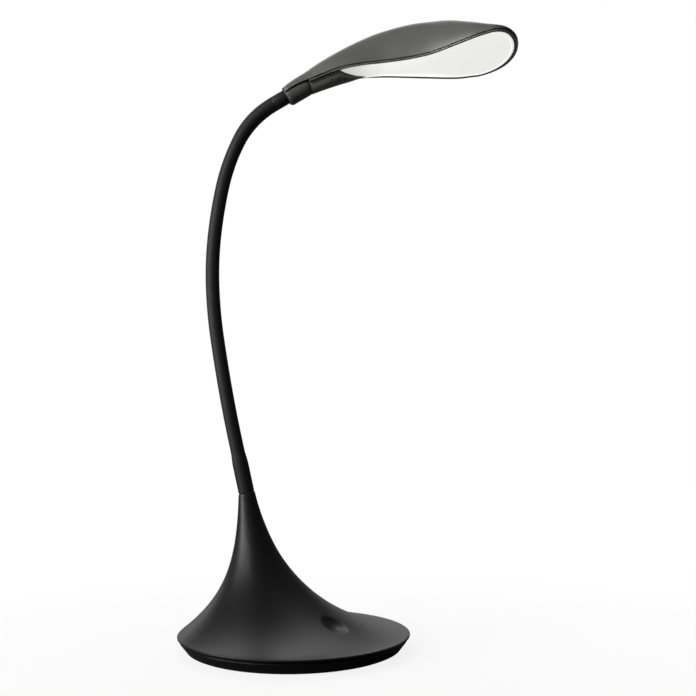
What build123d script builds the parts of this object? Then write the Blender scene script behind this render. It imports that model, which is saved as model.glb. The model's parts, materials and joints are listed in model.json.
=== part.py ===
from build123d import *
import math
import os

# Gooseneck LED desk lamp.  Millimetres, +Z up, +X towards the head.
# The origin is the centre of the base, on the face that rests on the table.

# ---- base: shell -----------------------------------------------------------
BASE_RADIUS = 80.0
RIM_BOTTOM = 9.0            # underside of the shell's rim
RIM_HEIGHT = 1.4
RIM_ROUND = 0.5
SHELL_WALL = 2.2
SHELL_SIDE_WALL = 1.8
STEM_HEIGHT = 105.5         # where the flared shell ends and the neck starts
STEM_FRONT = -34.2          # lines that the flare runs up to, front and rear
STEM_REAR = -40.2
FLARE_REACH = 147.5
FRONT_EASE, FRONT_FLARE = 0.627, 2.12
REAR_EASE, REAR_FLARE = 1.04, 5.65
TILT_START = 60.0           # above this the flare's rings lean with the neck
SHELL_RINGS = 14
RING_SPACING_POWER = 1.7
SOLID_STEM = 30.0           # length of the stem that is solid round the ferrule
SHELL_BOSS_RADIUS = 3.6

# ---- base: touch dimple ----------------------------------------------------
DIMPLE_X, DIMPLE_Y = 28.3, -31.0
DIMPLE_SPHERE = 18.0
DIMPLE_DEPTH = 2.4
TOUCH_PLATE_RADIUS = 6.0
TOUCH_PLATE_THICKNESS = 0.3
SPRING_RADIUS = 2.6
SPRING_WIRE = 0.35
SPRING_PITCH = 1.5

# ---- base: pan, foot pad, ballast -----------------------------------------
PAD_THICKNESS = 0.8
PAD_INSET = 2.0             # from the pan's foot
PAN_FLOOR = 2.0
PAN_BELT_INSET = 1.7        # from the shell's rim in to the pan's widest line
PAN_BELT_HEIGHT = 6.1       # above the pan's underside
PAN_TAPER = 4.8             # from the widest line in to the foot
PAN_TOP_STEP = 1.0          # from the widest line in to the top
PAN_HEIGHT = 7.6            # above the pan's underside
PAN_WALL = 2.0
UPSTAND_RISE = 0.5
UPSTAND_STEP = 1.1
UPSTAND_WALL = 1.6
BALLAST_INSET = 16.0        # from the pan's foot, which leaves room for the inlet
BALLAST_THICKNESS = 5.0
SCREW_RADIUS = 1.4
SCREW_HEAD_RADIUS = 2.8
SCREW_HEAD_THICKNESS = 1.1
SCREW_LENGTH = 9.0
FRONT_SCREW_CIRCLE = 50.0
REAR_SCREW_INSET = 16.0     # from the shell's rim
REAR_SCREW_ANGLE = 17.0

# ---- base: electronics -----------------------------------------------------
BOARD_X, BOARD_Y = 8.0, -23.0
BOARD_LENGTH, BOARD_WIDTH = 56.0, 34.0
BOARD_THICKNESS = 1.6
BOARD_GAP = 1.4             # above the ballast
BOARD_HOLE_INSET = 4.0
POST_RADIUS = 2.4
BOARD_SCREW_RADIUS = 0.85
BOARD_SCREW_HEAD = 1.9
INLET_BODY = (13.0, 7.0, 5.6)
INLET_NOSE_RADIUS = 2.4
INLET_BORE_RADIUS = 1.8
INLET_BORE_DEPTH = 9.0
INLET_PIN_RADIUS = 0.65
LEAD_RADIUS = 1.1

# ---- neck ------------------------------------------------------------------
NECK_LEAN = -13.0           # degrees from upright where the neck starts
LINK_LENGTH = 37.5
LINK_TURNS = (0.0, 2.2, 1.7, 6.1, 8.0, 6.2, 14.3, 32.9)
SLEEVE_RADIUS = 4.95
HOSE_RADIUS = 3.8
HOSE_BORE = 1.6
CABLE_RADIUS = 1.2
LINK_GAP = 1.5
BALL_RADIUS = 3.4
BALL_NECK_RADIUS = 2.4
BALL_MOUTH = 20.0           # the ball's bore opens at this angle, so the cable can swing
FERRULE_STEM_RADIUS = 4.0
FERRULE_HUG = 0.75          # wall of the ferrule round the hose
FERRULE_GRIP = 20.0         # how far the lower ferrule reaches up the hose
SLEEVE_FLARE_RADIUS = 5.6
SLEEVE_FLARE_TAPER = 10.0
UPPER_FERRULE_RADIUS = 4.75
UPPER_FERRULE_VISIBLE = 11.4
UPPER_FERRULE_GRIP = 9.0
UPPER_STEM_RADIUS = 3.0
NUT_FLATS = 11.0
SOCKET_NUT_FLATS = 8.6
NUT_THICKNESS = 3.0
WASHER_RADIUS = 6.6
WASHER_THICKNESS = 0.8

# ---- head, measured from the centre of its mouth ----------------------------
MOUTH_LEAN = 31.6           # the head's axis climbs at this angle at the mouth
LEAN_FADE = 79.0
HEAD_LENGTH = 172.5
NOSE_LENGTH = 24.1          # from the widest place to the tip
HEAD_HALF_WIDTH = 38.4
# Each line has its stations as shares of the way from the mouth to the widest place,
# and those of its nose as distances back from the tip.
EDGE_SHARES = (-0.0135, 0.0202, 0.0539, 0.1267, 0.1968, 0.2756, 0.3699, 0.4643, 0.6327, 0.7204,
               0.8012, 0.8861, 0.9683)
EDGE_HEIGHTS = (-0.6, 3.4, 6.6, 10.9, 14.8, 18.4, 21.1, 22.3, 24.0, 25.4, 27.6, 30.2, 33.1)
EDGE_NOSE = ((15.6, 35.4), (0.0, 36.2))
WIDTH_SHARES = (-0.0135, 0.1280, 0.2763, 0.3976, 0.4919, 0.6065, 0.7210, 0.8322, 0.9164)
WIDTH_HALVES = (7.4, 8.8, 11.9, 12.9, 14.1, 17.2, 22.2, 30.0, 35.4)
CROWN_SHARES = (-0.0135, 0.0809, 0.1752, 0.2763, 0.3706, 0.4650, 0.5795, 0.7075, 0.8288, 0.9299)
CROWN_HEIGHTS = (5.5, 7.2, 11.3, 15.6, 20.6, 26.2, 30.7, 31.6, 27.6, 19.2)
CROWN_NOSE = ((22.5, 10.6), (12.5, 7.0), (5.5, 4.8), (0.0, 2.4))
KEEL_LINE = [(5.0, 8.8), (18.8, 8.3), (29.2, 8.1), (41.0, 7.5), (50.0, 6.7), (60.0, 5.6)]
HEAD_WALL = 1.2
HEAD_STATION = 10.0         # spacing of the sections along the head
EDGE_BAND = 0.8             # upright band along the shell's lower edge
COVER_WALL = 1.4
COVER_STATION = 5.0         # spacing of the sections along the cover
COVER_START = 13.0          # the cover shows from here on, beside the socket
TRIM_START = 17.0
TRIM_WIDTH = 2.6
TRIM_DROP = 1.5             # how far the trim stands below the shell's edge
TRIM_FLANGE = 1.2
TRIM_UPSTAND_WALL = 0.85
TRIM_UPSTAND_TOP = 1.3
TONGUE = [(38.6, 10.2), (41.2, 7.6), (45.6, 5.0), (53.6, 1.6)]
TONGUE_TIP = 59.5
DIFFUSER_THICKNESS = 1.2
DIFFUSER_BELLY = 3.0
DIFFUSER_REAR_BELLY = 5.6   # where it meets the tongue
DIFFUSER_FADE = 16.0        # the deeper belly fades out over this length
DIFFUSER_BORDER = 2.5
DIFFUSER_SEAM = 0.2         # between the diffuser's edge and the trim
GUIDE_GAP = 2.5             # from the tongue's tip to the light guide
GUIDE_INSET = 6.5
GUIDE_THICKNESS = 1.9
REFLECTOR_THICKNESS = 0.3
PLATE_INSET = 6.5
PLATE_LEAD = 4.0            # how far the plate starts before the guide
PLATE_TIP_GAP = 27.5        # from the plate's end to the head's tip
PLATE_THICKNESS = 1.2
LED_BOARD_THICKNESS = 1.0
LED_BOARD_INSET = 3.9
LED_BOARD_HEIGHT = 2.5
LED_DEPTH = 1.2
LED_WIDTH = 3.0
LED_COUNT = 13
LED_ARC = 75.0              # degrees to each side of the tip
HEAD_SCREWS_FROM_TIP = (80.5, 44.5)
HEAD_SCREW_RADIUS = 1.2
HEAD_SCREW_HEAD = 2.2
HEAD_SCREW_HEAD_THICKNESS = 1.0
HEAD_SCREW_LENGTH = 8.0
HEAD_BOSS_RADIUS = 2.6
HEAD_LEAD_RADIUS = 0.6
HEAD_LEAD_SIDE = 5.0        # the lead passes this far beside the bosses
HEAD_LEAD_FALL = 18.0       # the lead comes down to the plate over this length
SOCKET_RADIUS = 6.8
SOCKET_DROP = 1.2           # the socket lies this far under the neck's axis
SOCKET_LENGTH = 21.0
SOCKET_DOME = 5.0
SOCKET_ROUND = 0.7
SOCKET_SEAT = 3.0
NUT_TAIL = 2.0              # threads that stand out of the nut
VENT_RADIUS = 0.5
VENT_PITCH = 2.4
VENT_ROWS = 3

# ---- clearances ------------------------------------------------------------
FIT = 0.1
SLIP = 0.3

PAN_BOTTOM = PAD_THICKNESS
PAN_BELT_RADIUS = BASE_RADIUS - PAN_BELT_INSET
PAN_FOOT_RADIUS = PAN_BELT_RADIUS - PAN_TAPER
PAN_TOP_RADIUS = PAN_BELT_RADIUS - PAN_TOP_STEP
BALLAST_RADIUS = PAN_FOOT_RADIUS - BALLAST_INSET
REAR_SCREW_CIRCLE = BASE_RADIUS - REAR_SCREW_INSET
PAN_FLOOR_TOP = PAN_BOTTOM + PAN_FLOOR
RIM_TOP = RIM_BOTTOM + RIM_HEIGHT
BALLAST_TOP = PAN_FLOOR_TOP + BALLAST_THICKNESS
BOARD_BOTTOM = BALLAST_TOP + BOARD_GAP
BOARD_TOP = BOARD_BOTTOM + BOARD_THICKNESS
SLEEVE_BORE = HOSE_RADIUS + FIT
GRIP_RADIUS = HOSE_RADIUS + FIT + FERRULE_HUG
TRIM_BOTTOM = -TRIM_DROP
DIFFUSER_BOTTOM = TRIM_BOTTOM + FIT
GUIDE_BOTTOM = DIFFUSER_BOTTOM + DIFFUSER_THICKNESS + FIT
GUIDE_TOP = GUIDE_BOTTOM + GUIDE_THICKNESS
REFLECTOR_BOTTOM = GUIDE_TOP + FIT
REFLECTOR_TOP = REFLECTOR_BOTTOM + REFLECTOR_THICKNESS
PLATE_BOTTOM = REFLECTOR_TOP + FIT * 2 + HEAD_SCREW_HEAD_THICKNESS
PLATE_TOP = PLATE_BOTTOM + PLATE_THICKNESS
LED_BOARD_TOP = GUIDE_BOTTOM + LED_BOARD_HEIGHT
WIDEST_AT = HEAD_LENGTH - NOSE_LENGTH
GUIDE_START = TONGUE_TIP + GUIDE_GAP
PLATE_START = GUIDE_START - PLATE_LEAD
PLATE_END = HEAD_LENGTH - PLATE_TIP_GAP
COVER_INSET = TRIM_WIDTH + FIT


def head_line(shares, values, nose):
    """Points of a line along the head, from the mouth to the tip."""
    body = [(share * WIDEST_AT, value) for share, value in zip(shares, values)]
    return body + [(HEAD_LENGTH - back, value) for back, value in nose]


EDGE_LINE = head_line(EDGE_SHARES, EDGE_HEIGHTS, EDGE_NOSE)
CROWN_LINE = head_line(CROWN_SHARES, CROWN_HEIGHTS, CROWN_NOSE)
WIDTH_LINE = head_line(WIDTH_SHARES, WIDTH_HALVES, ((NOSE_LENGTH, HEAD_HALF_WIDTH),))
HEAD_SCREW_SPOTS = [HEAD_LENGTH - back for back in HEAD_SCREWS_FROM_TIP]

nodes = {}


def keep(name, shape):
    """Store one sub-part under its node name."""
    nodes[name] = shape


def smooth(points, x):
    """Height at x of a smooth line through the points."""
    xs = [p[0] for p in points]
    ys = [p[1] for p in points]
    x = min(max(x, xs[0]), xs[-1])
    last = len(xs) - 1
    i = max(k for k in range(last) if xs[k] <= x)

    def rate(k):
        return (ys[k + 1] - ys[k]) / (xs[k + 1] - xs[k])

    def slope(k):
        if k == 0:
            return rate(0)
        if k == last:
            return rate(last - 1)
        before, after = xs[k] - xs[k - 1], xs[k + 1] - xs[k]
        return (rate(k - 1) * after + rate(k) * before) / (before + after)

    span = xs[i + 1] - xs[i]
    t = (x - xs[i]) / span
    rise = (3 - 2 * t) * t * t
    return (ys[i] * (1 - rise) + ys[i + 1] * rise
            + span * t * (1 - t) * (slope(i) * (1 - t) - slope(i + 1) * t))


def rod(radius, start, end):
    """A round bar between two points."""
    start, end = Vector(*start), Vector(*end)
    axis = end - start
    return Solid.make_cylinder(radius, axis.length, Plane(start, z_dir=axis))


def upright(radius, x, y, bottom, top):
    """A vertical round bar."""
    return rod(radius, (x, y, bottom), (x, y, top))


def block(x0, x1, y0, y1, z0, z1):
    """A box between two corners."""
    return Pos((x0 + x1) / 2, (y0 + y1) / 2, (z0 + z1) / 2) * Box(x1 - x0, y1 - y0, z1 - z0)


def wire_lead(points, radius, bend):
    """A lead that runs straight between points and bends in arcs."""
    path = FilletPolyline(*points, radius=bend)
    start = Plane(path @ 0, z_dir=path % 0)
    return sweep(start * Circle(radius), path=path)


# ---- base shell --------------------------------------------------------------
def flare(z):
    """Centre and radius of the shell's ring at height z."""
    t = max(0.0, (z - RIM_TOP) / FLARE_REACH)
    front = STEM_FRONT + (BASE_RADIUS - STEM_FRONT) * (1 - t ** FRONT_EASE) ** FRONT_FLARE
    rear = STEM_REAR - (BASE_RADIUS + STEM_REAR) * (1 - t ** REAR_EASE) ** REAR_FLARE
    return (front + rear) / 2, (front - rear) / 2


def ring_tilt(z):
    """Lean of the shell's ring at height z, in degrees."""
    t = min(1.0, max(0.0, (z - TILT_START) / (STEM_HEIGHT - TILT_START)))
    return NECK_LEAN * t * t * (3 - 2 * t)


def ring(z, drop=0.0, thin=0.0):
    """The shell's ring at height z, lowered and shrunk for the inside."""
    centre, radius = flare(z)
    tilt = math.radians(ring_tilt(z))
    place = Plane((centre, 0, z - drop), x_dir=(math.cos(tilt), 0, -math.sin(tilt)),
                  z_dir=(math.sin(tilt), 0, math.cos(tilt)))
    return place * Circle(radius - thin)


def ring_levels(top):
    """Heights of the rings, close together near the rim."""
    return [RIM_TOP + (top - RIM_TOP) * (k / SHELL_RINGS) ** RING_SPACING_POWER
            for k in range(SHELL_RINGS + 1)]


def surface_height(x, y):
    """Height of the shell's outside above (x, y)."""
    low, high = RIM_TOP, STEM_HEIGHT
    for _ in range(40):
        middle = (low + high) / 2
        centre, radius = flare(middle)
        if math.hypot(x - centre, y) < radius:
            low = middle
        else:
            high = middle
    return low


def surface_normal(x, y):
    """Outward direction of the shell at (x, y)."""
    step = 0.5
    slope_x = (surface_height(x + step, y) - surface_height(x - step, y)) / (2 * step)
    slope_y = (surface_height(x, y + step) - surface_height(x, y - step)) / (2 * step)
    return Vector(-slope_x, -slope_y, 1).normalized()


STEM_X, STEM_RADIUS = flare(STEM_HEIGHT)
STEM_TOP = Vector(STEM_X, 0, STEM_HEIGHT)
STEM_AXIS = Vector(math.sin(math.radians(NECK_LEAN)), 0, math.cos(math.radians(NECK_LEAN)))
SOLID_STEM_BOTTOM = STEM_TOP - STEM_AXIS * SOLID_STEM
DIMPLE_POINT = Vector(DIMPLE_X, DIMPLE_Y, surface_height(DIMPLE_X, DIMPLE_Y))
DIMPLE_NORMAL = surface_normal(DIMPLE_X, DIMPLE_Y)
DIMPLE_CENTRE = DIMPLE_POINT + DIMPLE_NORMAL * (DIMPLE_SPHERE - DIMPLE_DEPTH)


def screw_spots():
    """Places of the pan screws."""
    front = [(FRONT_SCREW_CIRCLE, 0.0), (0.0, FRONT_SCREW_CIRCLE), (0.0, -FRONT_SCREW_CIRCLE)]
    side = math.radians(REAR_SCREW_ANGLE)
    rear = [(-REAR_SCREW_CIRCLE * math.cos(side), sign * REAR_SCREW_CIRCLE * math.sin(side))
            for sign in (1, -1)]
    return front + rear


def post_spots():
    """Places of the posts that carry the control board."""
    dx = BOARD_LENGTH / 2 - BOARD_HOLE_INSET
    dy = BOARD_WIDTH / 2 - BOARD_HOLE_INSET
    return [(BOARD_X + sx * dx, BOARD_Y + sy * dy) for sx in (-1, 1) for sy in (-1, 1)]


def on_stem(distance):
    """The point this far above the stem's top, along the neck's first axis."""
    return STEM_TOP + STEM_AXIS * distance


def make_base_shell():
    """The trumpet-shaped cover with its dimple and screw bosses."""
    rim = fillet(Cylinder(BASE_RADIUS, RIM_HEIGHT).edges(), RIM_ROUND)
    rim = Pos(0, 0, RIM_BOTTOM + RIM_HEIGHT / 2) * rim
    levels = ring_levels(STEM_HEIGHT)
    outside = loft([Pos(0, 0, 0) * ring(levels[0], drop=0.0, thin=RIM_ROUND)] + [ring(z) for z in levels[1:]])
    outside = outside + rim
    inside = loft([ring(z, drop=SHELL_WALL, thin=SHELL_SIDE_WALL)
                   for z in ring_levels(SOLID_STEM_BOTTOM.Z + SHELL_WALL)])
    shell = outside - inside
    skirted = outside + Pos(0, 0, (RIM_BOTTOM + PAN_FLOOR_TOP) / 2) * Cylinder(
        PAN_FOOT_RADIUS - PAN_WALL, RIM_BOTTOM - PAN_FLOOR_TOP)
    for x, y in screw_spots():
        shell = shell + (upright(SHELL_BOSS_RADIUS, x, y, PAN_FLOOR_TOP, STEM_HEIGHT) & skirted)
    shell = shell + (Pos(*DIMPLE_CENTRE) * Sphere(DIMPLE_SPHERE + SHELL_WALL) & outside)
    shell = shell - Pos(*DIMPLE_CENTRE) * Sphere(DIMPLE_SPHERE)
    for x, y in screw_spots():
        top = PAN_FLOOR_TOP + SCREW_LENGTH + 2 * SLIP
        shell = shell - upright(SCREW_RADIUS + FIT / 2, x, y, PAN_FLOOR_TOP - 1, top)
    shell = shell - rod(FERRULE_STEM_RADIUS + FIT, on_stem(1), on_stem(-SOLID_STEM - SHELL_WALL * 2))
    pocket = SHELL_WALL + WASHER_THICKNESS + NUT_THICKNESS
    shell = shell - rod(WASHER_RADIUS + SLIP, on_stem(-SOLID_STEM - SHELL_WALL), on_stem(-SOLID_STEM - pocket))
    keep("base_shell", shell)


# ---- pan, pad, ballast ---------------------------------------------------------
def inlet_height():
    """Height of the inlet's axis."""
    return PAN_FLOOR_TOP + INLET_BODY[2] / 2


def pan_radius(z):
    """Outer radius of the pan's cone at height z."""
    share = (z - PAN_BOTTOM) / PAN_BELT_HEIGHT
    return PAN_FOOT_RADIUS + (PAN_BELT_RADIUS - PAN_FOOT_RADIUS) * share


def make_base_pan():
    """The lower ring and floor, with the board's posts and the inlet's hole."""
    top = PAN_BOTTOM + PAN_HEIGHT
    lip = top + UPSTAND_RISE
    upstand = PAN_TOP_RADIUS - UPSTAND_STEP
    profile = Polyline((0, PAN_BOTTOM), (PAN_FOOT_RADIUS, PAN_BOTTOM),
                       (PAN_BELT_RADIUS, PAN_BOTTOM + PAN_BELT_HEIGHT), (PAN_TOP_RADIUS, top),
                       (upstand, top), (upstand, lip), (upstand - UPSTAND_WALL, lip),
                       (PAN_BELT_RADIUS - PAN_WALL, PAN_BOTTOM + PAN_BELT_HEIGHT),
                       (pan_radius(PAN_FLOOR_TOP) - PAN_WALL, PAN_FLOOR_TOP), (0, PAN_FLOOR_TOP),
                       close=True)
    pan = revolve(Plane.XZ * make_face(profile), Axis.Z)
    for x, y in post_spots():
        pan = pan + upright(POST_RADIUS, x, y, PAN_FLOOR_TOP, BOARD_BOTTOM)
        pan = pan - upright(BOARD_SCREW_RADIUS + FIT / 2, x, y, PAN_FLOOR_TOP + 1, BOARD_BOTTOM + 1)
    for x, y in screw_spots():
        pan = pan - upright(SCREW_RADIUS + SLIP, x, y, 0, PAN_FLOOR_TOP + 1)
        pan = pan - upright(SCREW_HEAD_RADIUS + SLIP, x, y, 0, PAN_BOTTOM + SCREW_HEAD_THICKNESS + FIT)
    height = inlet_height()
    pan = pan - rod(INLET_NOSE_RADIUS + FIT, (-BASE_RADIUS, 0, height), (-PAN_FOOT_RADIUS + 8, 0, height))
    keep("base_pan", pan)


def make_foot_pad():
    """The soft disc that the lamp stands on."""
    pad = Pos(0, 0, PAD_THICKNESS / 2) * Cylinder(PAN_FOOT_RADIUS - PAD_INSET, PAD_THICKNESS)
    keep("foot_pad", pad)


def make_ballast():
    """The steel disc that keeps the lamp from tipping."""
    plate = Pos(0, 0, (PAN_FLOOR_TOP + BALLAST_TOP) / 2) * Cylinder(BALLAST_RADIUS, BALLAST_THICKNESS)
    for x, y in screw_spots():
        plate = plate - upright(SHELL_BOSS_RADIUS + SLIP, x, y, 0, STEM_HEIGHT)
    for x, y in post_spots():
        plate = plate - upright(POST_RADIUS + SLIP, x, y, 0, STEM_HEIGHT)
    keep("ballast_plate", plate)


def make_screw(radius, head_radius, head_thickness, length):
    """A pan-head screw pointing up, with a crossed slot in its head."""
    screw = Pos(0, 0, head_thickness / 2) * Cylinder(head_radius, head_thickness)
    screw = screw + Pos(0, 0, head_thickness + length / 2) * Cylinder(radius, length)
    slot = Box(head_radius, head_radius * 0.25, head_thickness)
    return screw - slot - Rot(0, 0, 90) * slot


def make_pan_screws():
    """The screws that draw the pan up to the shell."""
    screw = make_screw(SCREW_RADIUS, SCREW_HEAD_RADIUS, SCREW_HEAD_THICKNESS, SCREW_LENGTH)
    keep("pan_screws", Compound(children=[Pos(x, y, PAN_BOTTOM) * screw for x, y in screw_spots()]))


# ---- electronics ----------------------------------------------------------------
def make_board():
    """The control board and its screws."""
    board = Pos(BOARD_X, BOARD_Y, (BOARD_BOTTOM + BOARD_TOP) / 2) * Box(
        BOARD_LENGTH, BOARD_WIDTH, BOARD_THICKNESS)
    board = fillet(board.edges().filter_by(Axis.Z), 2.0)
    for x, y in post_spots():
        board = board - upright(BOARD_SCREW_RADIUS + SLIP, x, y, 0, STEM_HEIGHT)
    keep("control_board", board)
    head = 1.2
    shank = BOARD_THICKNESS + 3.5
    screw = Rot(180, 0, 0) * make_screw(BOARD_SCREW_RADIUS, BOARD_SCREW_HEAD, head, shank)
    keep("board_screws", Compound(children=[Pos(x, y, BOARD_TOP + head) * screw for x, y in post_spots()]))


def make_chip(name, x, y, length, width, height, legs):
    """A chip with a row of legs on its two long sides."""
    foot = 0.3
    chip = block(x - length / 2, x + length / 2, y - width / 2, y + width / 2,
                 BOARD_TOP + foot / 2, BOARD_TOP + height)
    pitch = length / legs
    for k in range(legs):
        leg = x + (k - (legs - 1) / 2) * pitch
        chip = chip + block(leg - pitch / 5, leg + pitch / 5, y - width / 2 - 1, y + width / 2 + 1,
                            BOARD_TOP, BOARD_TOP + foot)
    keep(name, chip)


def make_board_parts():
    """What is soldered to the board, besides the touch spring."""
    left = BOARD_X - BOARD_LENGTH / 2
    make_chip("driver_chip", BOARD_X - 2, BOARD_Y - 9, 5.0, 4.0, 1.5, 4)
    make_chip("touch_chip", BOARD_X + 8, BOARD_Y - 3, 5.0, 4.0, 1.5, 4)
    coil = Cylinder(3.6, 4.0) + Pos(0, 0, -1.6) * Box(8.4, 8.4, 0.8) + Pos(0, 0, 1.6) * Box(8.4, 8.4, 0.8)
    keep("inductor", Pos(BOARD_X - 2, BOARD_Y + 4, BOARD_TOP + 2.0) * coil)
    can = fillet(Cylinder(2.5, 6.0).edges().sort_by(Axis.Z)[-1:], 0.5)
    cans = [Pos(BOARD_X + 6 + 7 * k, BOARD_Y + 11, BOARD_TOP + 3.0) * can for k in range(2)]
    keep("capacitors", Compound(children=cans))
    plug = Box(6.0, 7.0, 5.0)
    plugs = [Pos(left + 9.0, BOARD_Y + offset, BOARD_TOP + 2.5) * plug for offset in (-4.5, 4.5)]
    keep("lead_connectors", Compound(children=plugs))


def make_touch_parts():
    """The plate stuck under the dimple and the spring that reaches it."""
    outer = Pos(*DIMPLE_CENTRE) * Sphere(DIMPLE_SPHERE + SHELL_WALL + TOUCH_PLATE_THICKNESS)
    plate = outer - Pos(*DIMPLE_CENTRE) * Sphere(DIMPLE_SPHERE + SHELL_WALL)
    column = rod(TOUCH_PLATE_RADIUS, DIMPLE_CENTRE - DIMPLE_NORMAL * 2, DIMPLE_CENTRE - DIMPLE_NORMAL * 2 * DIMPLE_SPHERE)
    keep("touch_plate", plate & column)
    lowest = DIMPLE_CENTRE - DIMPLE_NORMAL * (DIMPLE_SPHERE + SHELL_WALL + TOUCH_PLATE_THICKNESS)
    reach = DIMPLE_SPHERE + SHELL_WALL + TOUCH_PLATE_THICKNESS
    fall = math.sqrt(reach ** 2 - (math.hypot(DIMPLE_CENTRE.X - lowest.X, DIMPLE_CENTRE.Y - lowest.Y)
                                   - SPRING_RADIUS - SPRING_WIRE) ** 2)
    top = DIMPLE_CENTRE.Z - fall
    height = top - BOARD_TOP - 2 * SPRING_WIRE - FIT
    coil = Helix(pitch=SPRING_PITCH, height=height, radius=SPRING_RADIUS)
    wire = sweep(Plane(coil @ 0, z_dir=coil % 0) * Circle(SPRING_WIRE), path=coil, is_frenet=True)
    keep("touch_spring", Pos(lowest.X, lowest.Y, BOARD_TOP + SPRING_WIRE) * wire)


def make_inlet():
    """The power inlet at the back of the pan and its leads."""
    length, width, height = INLET_BODY
    z = inlet_height()
    back = -(pan_radius(PAN_FLOOR_TOP) - PAN_WALL - SLIP)
    mouth = -(pan_radius(z - INLET_NOSE_RADIUS) - FIT)
    body = Pos(back + length / 2, 0, z) * Box(length, width, height)
    body = body + rod(INLET_NOSE_RADIUS, (back + 1, 0, z), (mouth, 0, z))
    body = body - rod(INLET_BORE_RADIUS, (mouth - 1, 0, z), (mouth + INLET_BORE_DEPTH, 0, z))
    keep("inlet_housing", body)
    keep("inlet_pin", rod(INLET_PIN_RADIUS, (mouth + 1.5, 0, z), (mouth + INLET_BORE_DEPTH, 0, z)))
    leave = back + length - LEAD_RADIUS - 1.0
    plug_x = BOARD_X - BOARD_LENGTH / 2 + 9.0 - 3.0
    plug_y = BOARD_Y - 4.5
    plug_z = BOARD_TOP + 2.5
    points = [(leave, 0, PAN_FLOOR_TOP + height), (leave, 0, plug_z), (leave + 10, -6, plug_z),
              (plug_x - 8, plug_y, plug_z), (plug_x, plug_y, plug_z)]
    keep("inlet_lead", wire_lead(points, LEAD_RADIUS, 2.0))


# ---- neck -----------------------------------------------------------------------
def link_start(link):
    """Place and lean at the foot of a link of the neck."""
    x, z, lean = STEM_TOP.X, STEM_TOP.Z, NECK_LEAN
    for turn in LINK_TURNS[:link]:
        half = math.radians(lean + turn / 2)
        share = math.radians(turn / 2)
        chord = LINK_LENGTH * (math.sin(share) / share if turn else 1.0)
        x += chord * math.sin(half)
        z += chord * math.cos(half)
        lean += turn
    return x, z, lean


def along_link(link, distance):
    """Plane across a link at a distance from its foot, facing up the neck."""
    x, z, lean = link_start(link)
    turn = LINK_TURNS[link] * distance / LINK_LENGTH
    half = math.radians(lean + turn / 2)
    share = math.radians(turn / 2)
    chord = distance * (math.sin(share) / share if turn else 1.0)
    lean = math.radians(lean + turn)
    return Plane((x + chord * math.sin(half), 0, z + chord * math.cos(half)),
                 x_dir=(math.cos(lean), 0, -math.sin(lean)), z_dir=(math.sin(lean), 0, math.cos(lean)))


def tube(link, start, end, outer, bore=0.0):
    """A round tube that follows a link between two distances."""
    place = along_link(link, start)
    section = Circle(outer)
    if bore:
        section = section - Circle(bore)
    turn = LINK_TURNS[link]
    if turn == 0:
        return extrude(place * section, end - start)
    radius = LINK_LENGTH / math.radians(turn)
    centre = place.origin + place.x_dir * radius
    return revolve(place * section, Axis(centre, (0, 1, 0)), turn * (end - start) / LINK_LENGTH)


def make_sleeve(link):
    """The sleeve over one link; the first is flared over the ferrule."""
    half_gap = LINK_GAP / 2
    last = len(LINK_TURNS) - 1
    end = LINK_LENGTH if link == last else LINK_LENGTH - half_gap
    if link:
        return tube(link, half_gap, end, SLEEVE_RADIUS, SLEEVE_BORE)
    sleeve = tube(0, FIT, end, SLEEVE_RADIUS, SLEEVE_BORE)
    sleeve = sleeve + tube(0, FIT, FERRULE_GRIP, SLEEVE_FLARE_RADIUS)
    taper = Solid.make_cone(SLEEVE_FLARE_RADIUS, SLEEVE_RADIUS, SLEEVE_FLARE_TAPER,
                            along_link(0, FERRULE_GRIP))
    sleeve = sleeve + taper
    sleeve = sleeve - tube(0, -1, FERRULE_GRIP + SLIP, GRIP_RADIUS + FIT)
    return sleeve - tube(0, 0, LINK_LENGTH, SLEEVE_BORE)


def make_hose(link):
    """One link of the steel hose: a cup at its foot, a ball at its top."""
    last = len(LINK_TURNS) - 1
    foot = 0.0 if link else 1.0
    if link == last:
        hose = tube(link, foot, LINK_LENGTH, HOSE_RADIUS)
        top = along_link(link, LINK_LENGTH)
        hose = hose + extrude(top * Circle(HOSE_RADIUS), UPPER_FERRULE_GRIP - SLIP)
        hose = hose - extrude(top * Circle(HOSE_BORE), UPPER_FERRULE_GRIP)
    else:
        hose = tube(link, foot, LINK_LENGTH - LINK_GAP, HOSE_RADIUS)
        hose = hose + tube(link, LINK_LENGTH - 2 * LINK_GAP, LINK_LENGTH, BALL_NECK_RADIUS)
        hose = hose + along_link(link, LINK_LENGTH).location * Sphere(BALL_RADIUS)
        depth = BALL_RADIUS + 1
        mouth = HOSE_BORE + depth * math.tan(math.radians(BALL_MOUTH))
        hose = hose - Solid.make_cone(HOSE_BORE, mouth, depth, along_link(link, LINK_LENGTH))
    if link:
        hose = hose - along_link(link, 0).location * Sphere(BALL_RADIUS + FIT)
    return hose - tube(link, foot, LINK_LENGTH, HOSE_BORE)


def make_neck():
    """All links: sleeve, hose and cable."""
    for link in range(len(LINK_TURNS)):
        number = link + 1
        keep(f"neck_sleeve_{number}", make_sleeve(link))
        keep(f"neck_hose_{number}", make_hose(link))
        keep(f"neck_cable_{number}", tube(link, LINK_GAP / 2, LINK_LENGTH - LINK_GAP / 2, CABLE_RADIUS))


def make_nut(place, flats, stem):
    """A hexagonal nut on a plane, with the bore for a stem."""
    nut = extrude(place * RegularPolygon(flats / 2, 6, major_radius=False), NUT_THICKNESS)
    return nut - extrude(place * Circle(stem + FIT), NUT_THICKNESS)


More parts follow.
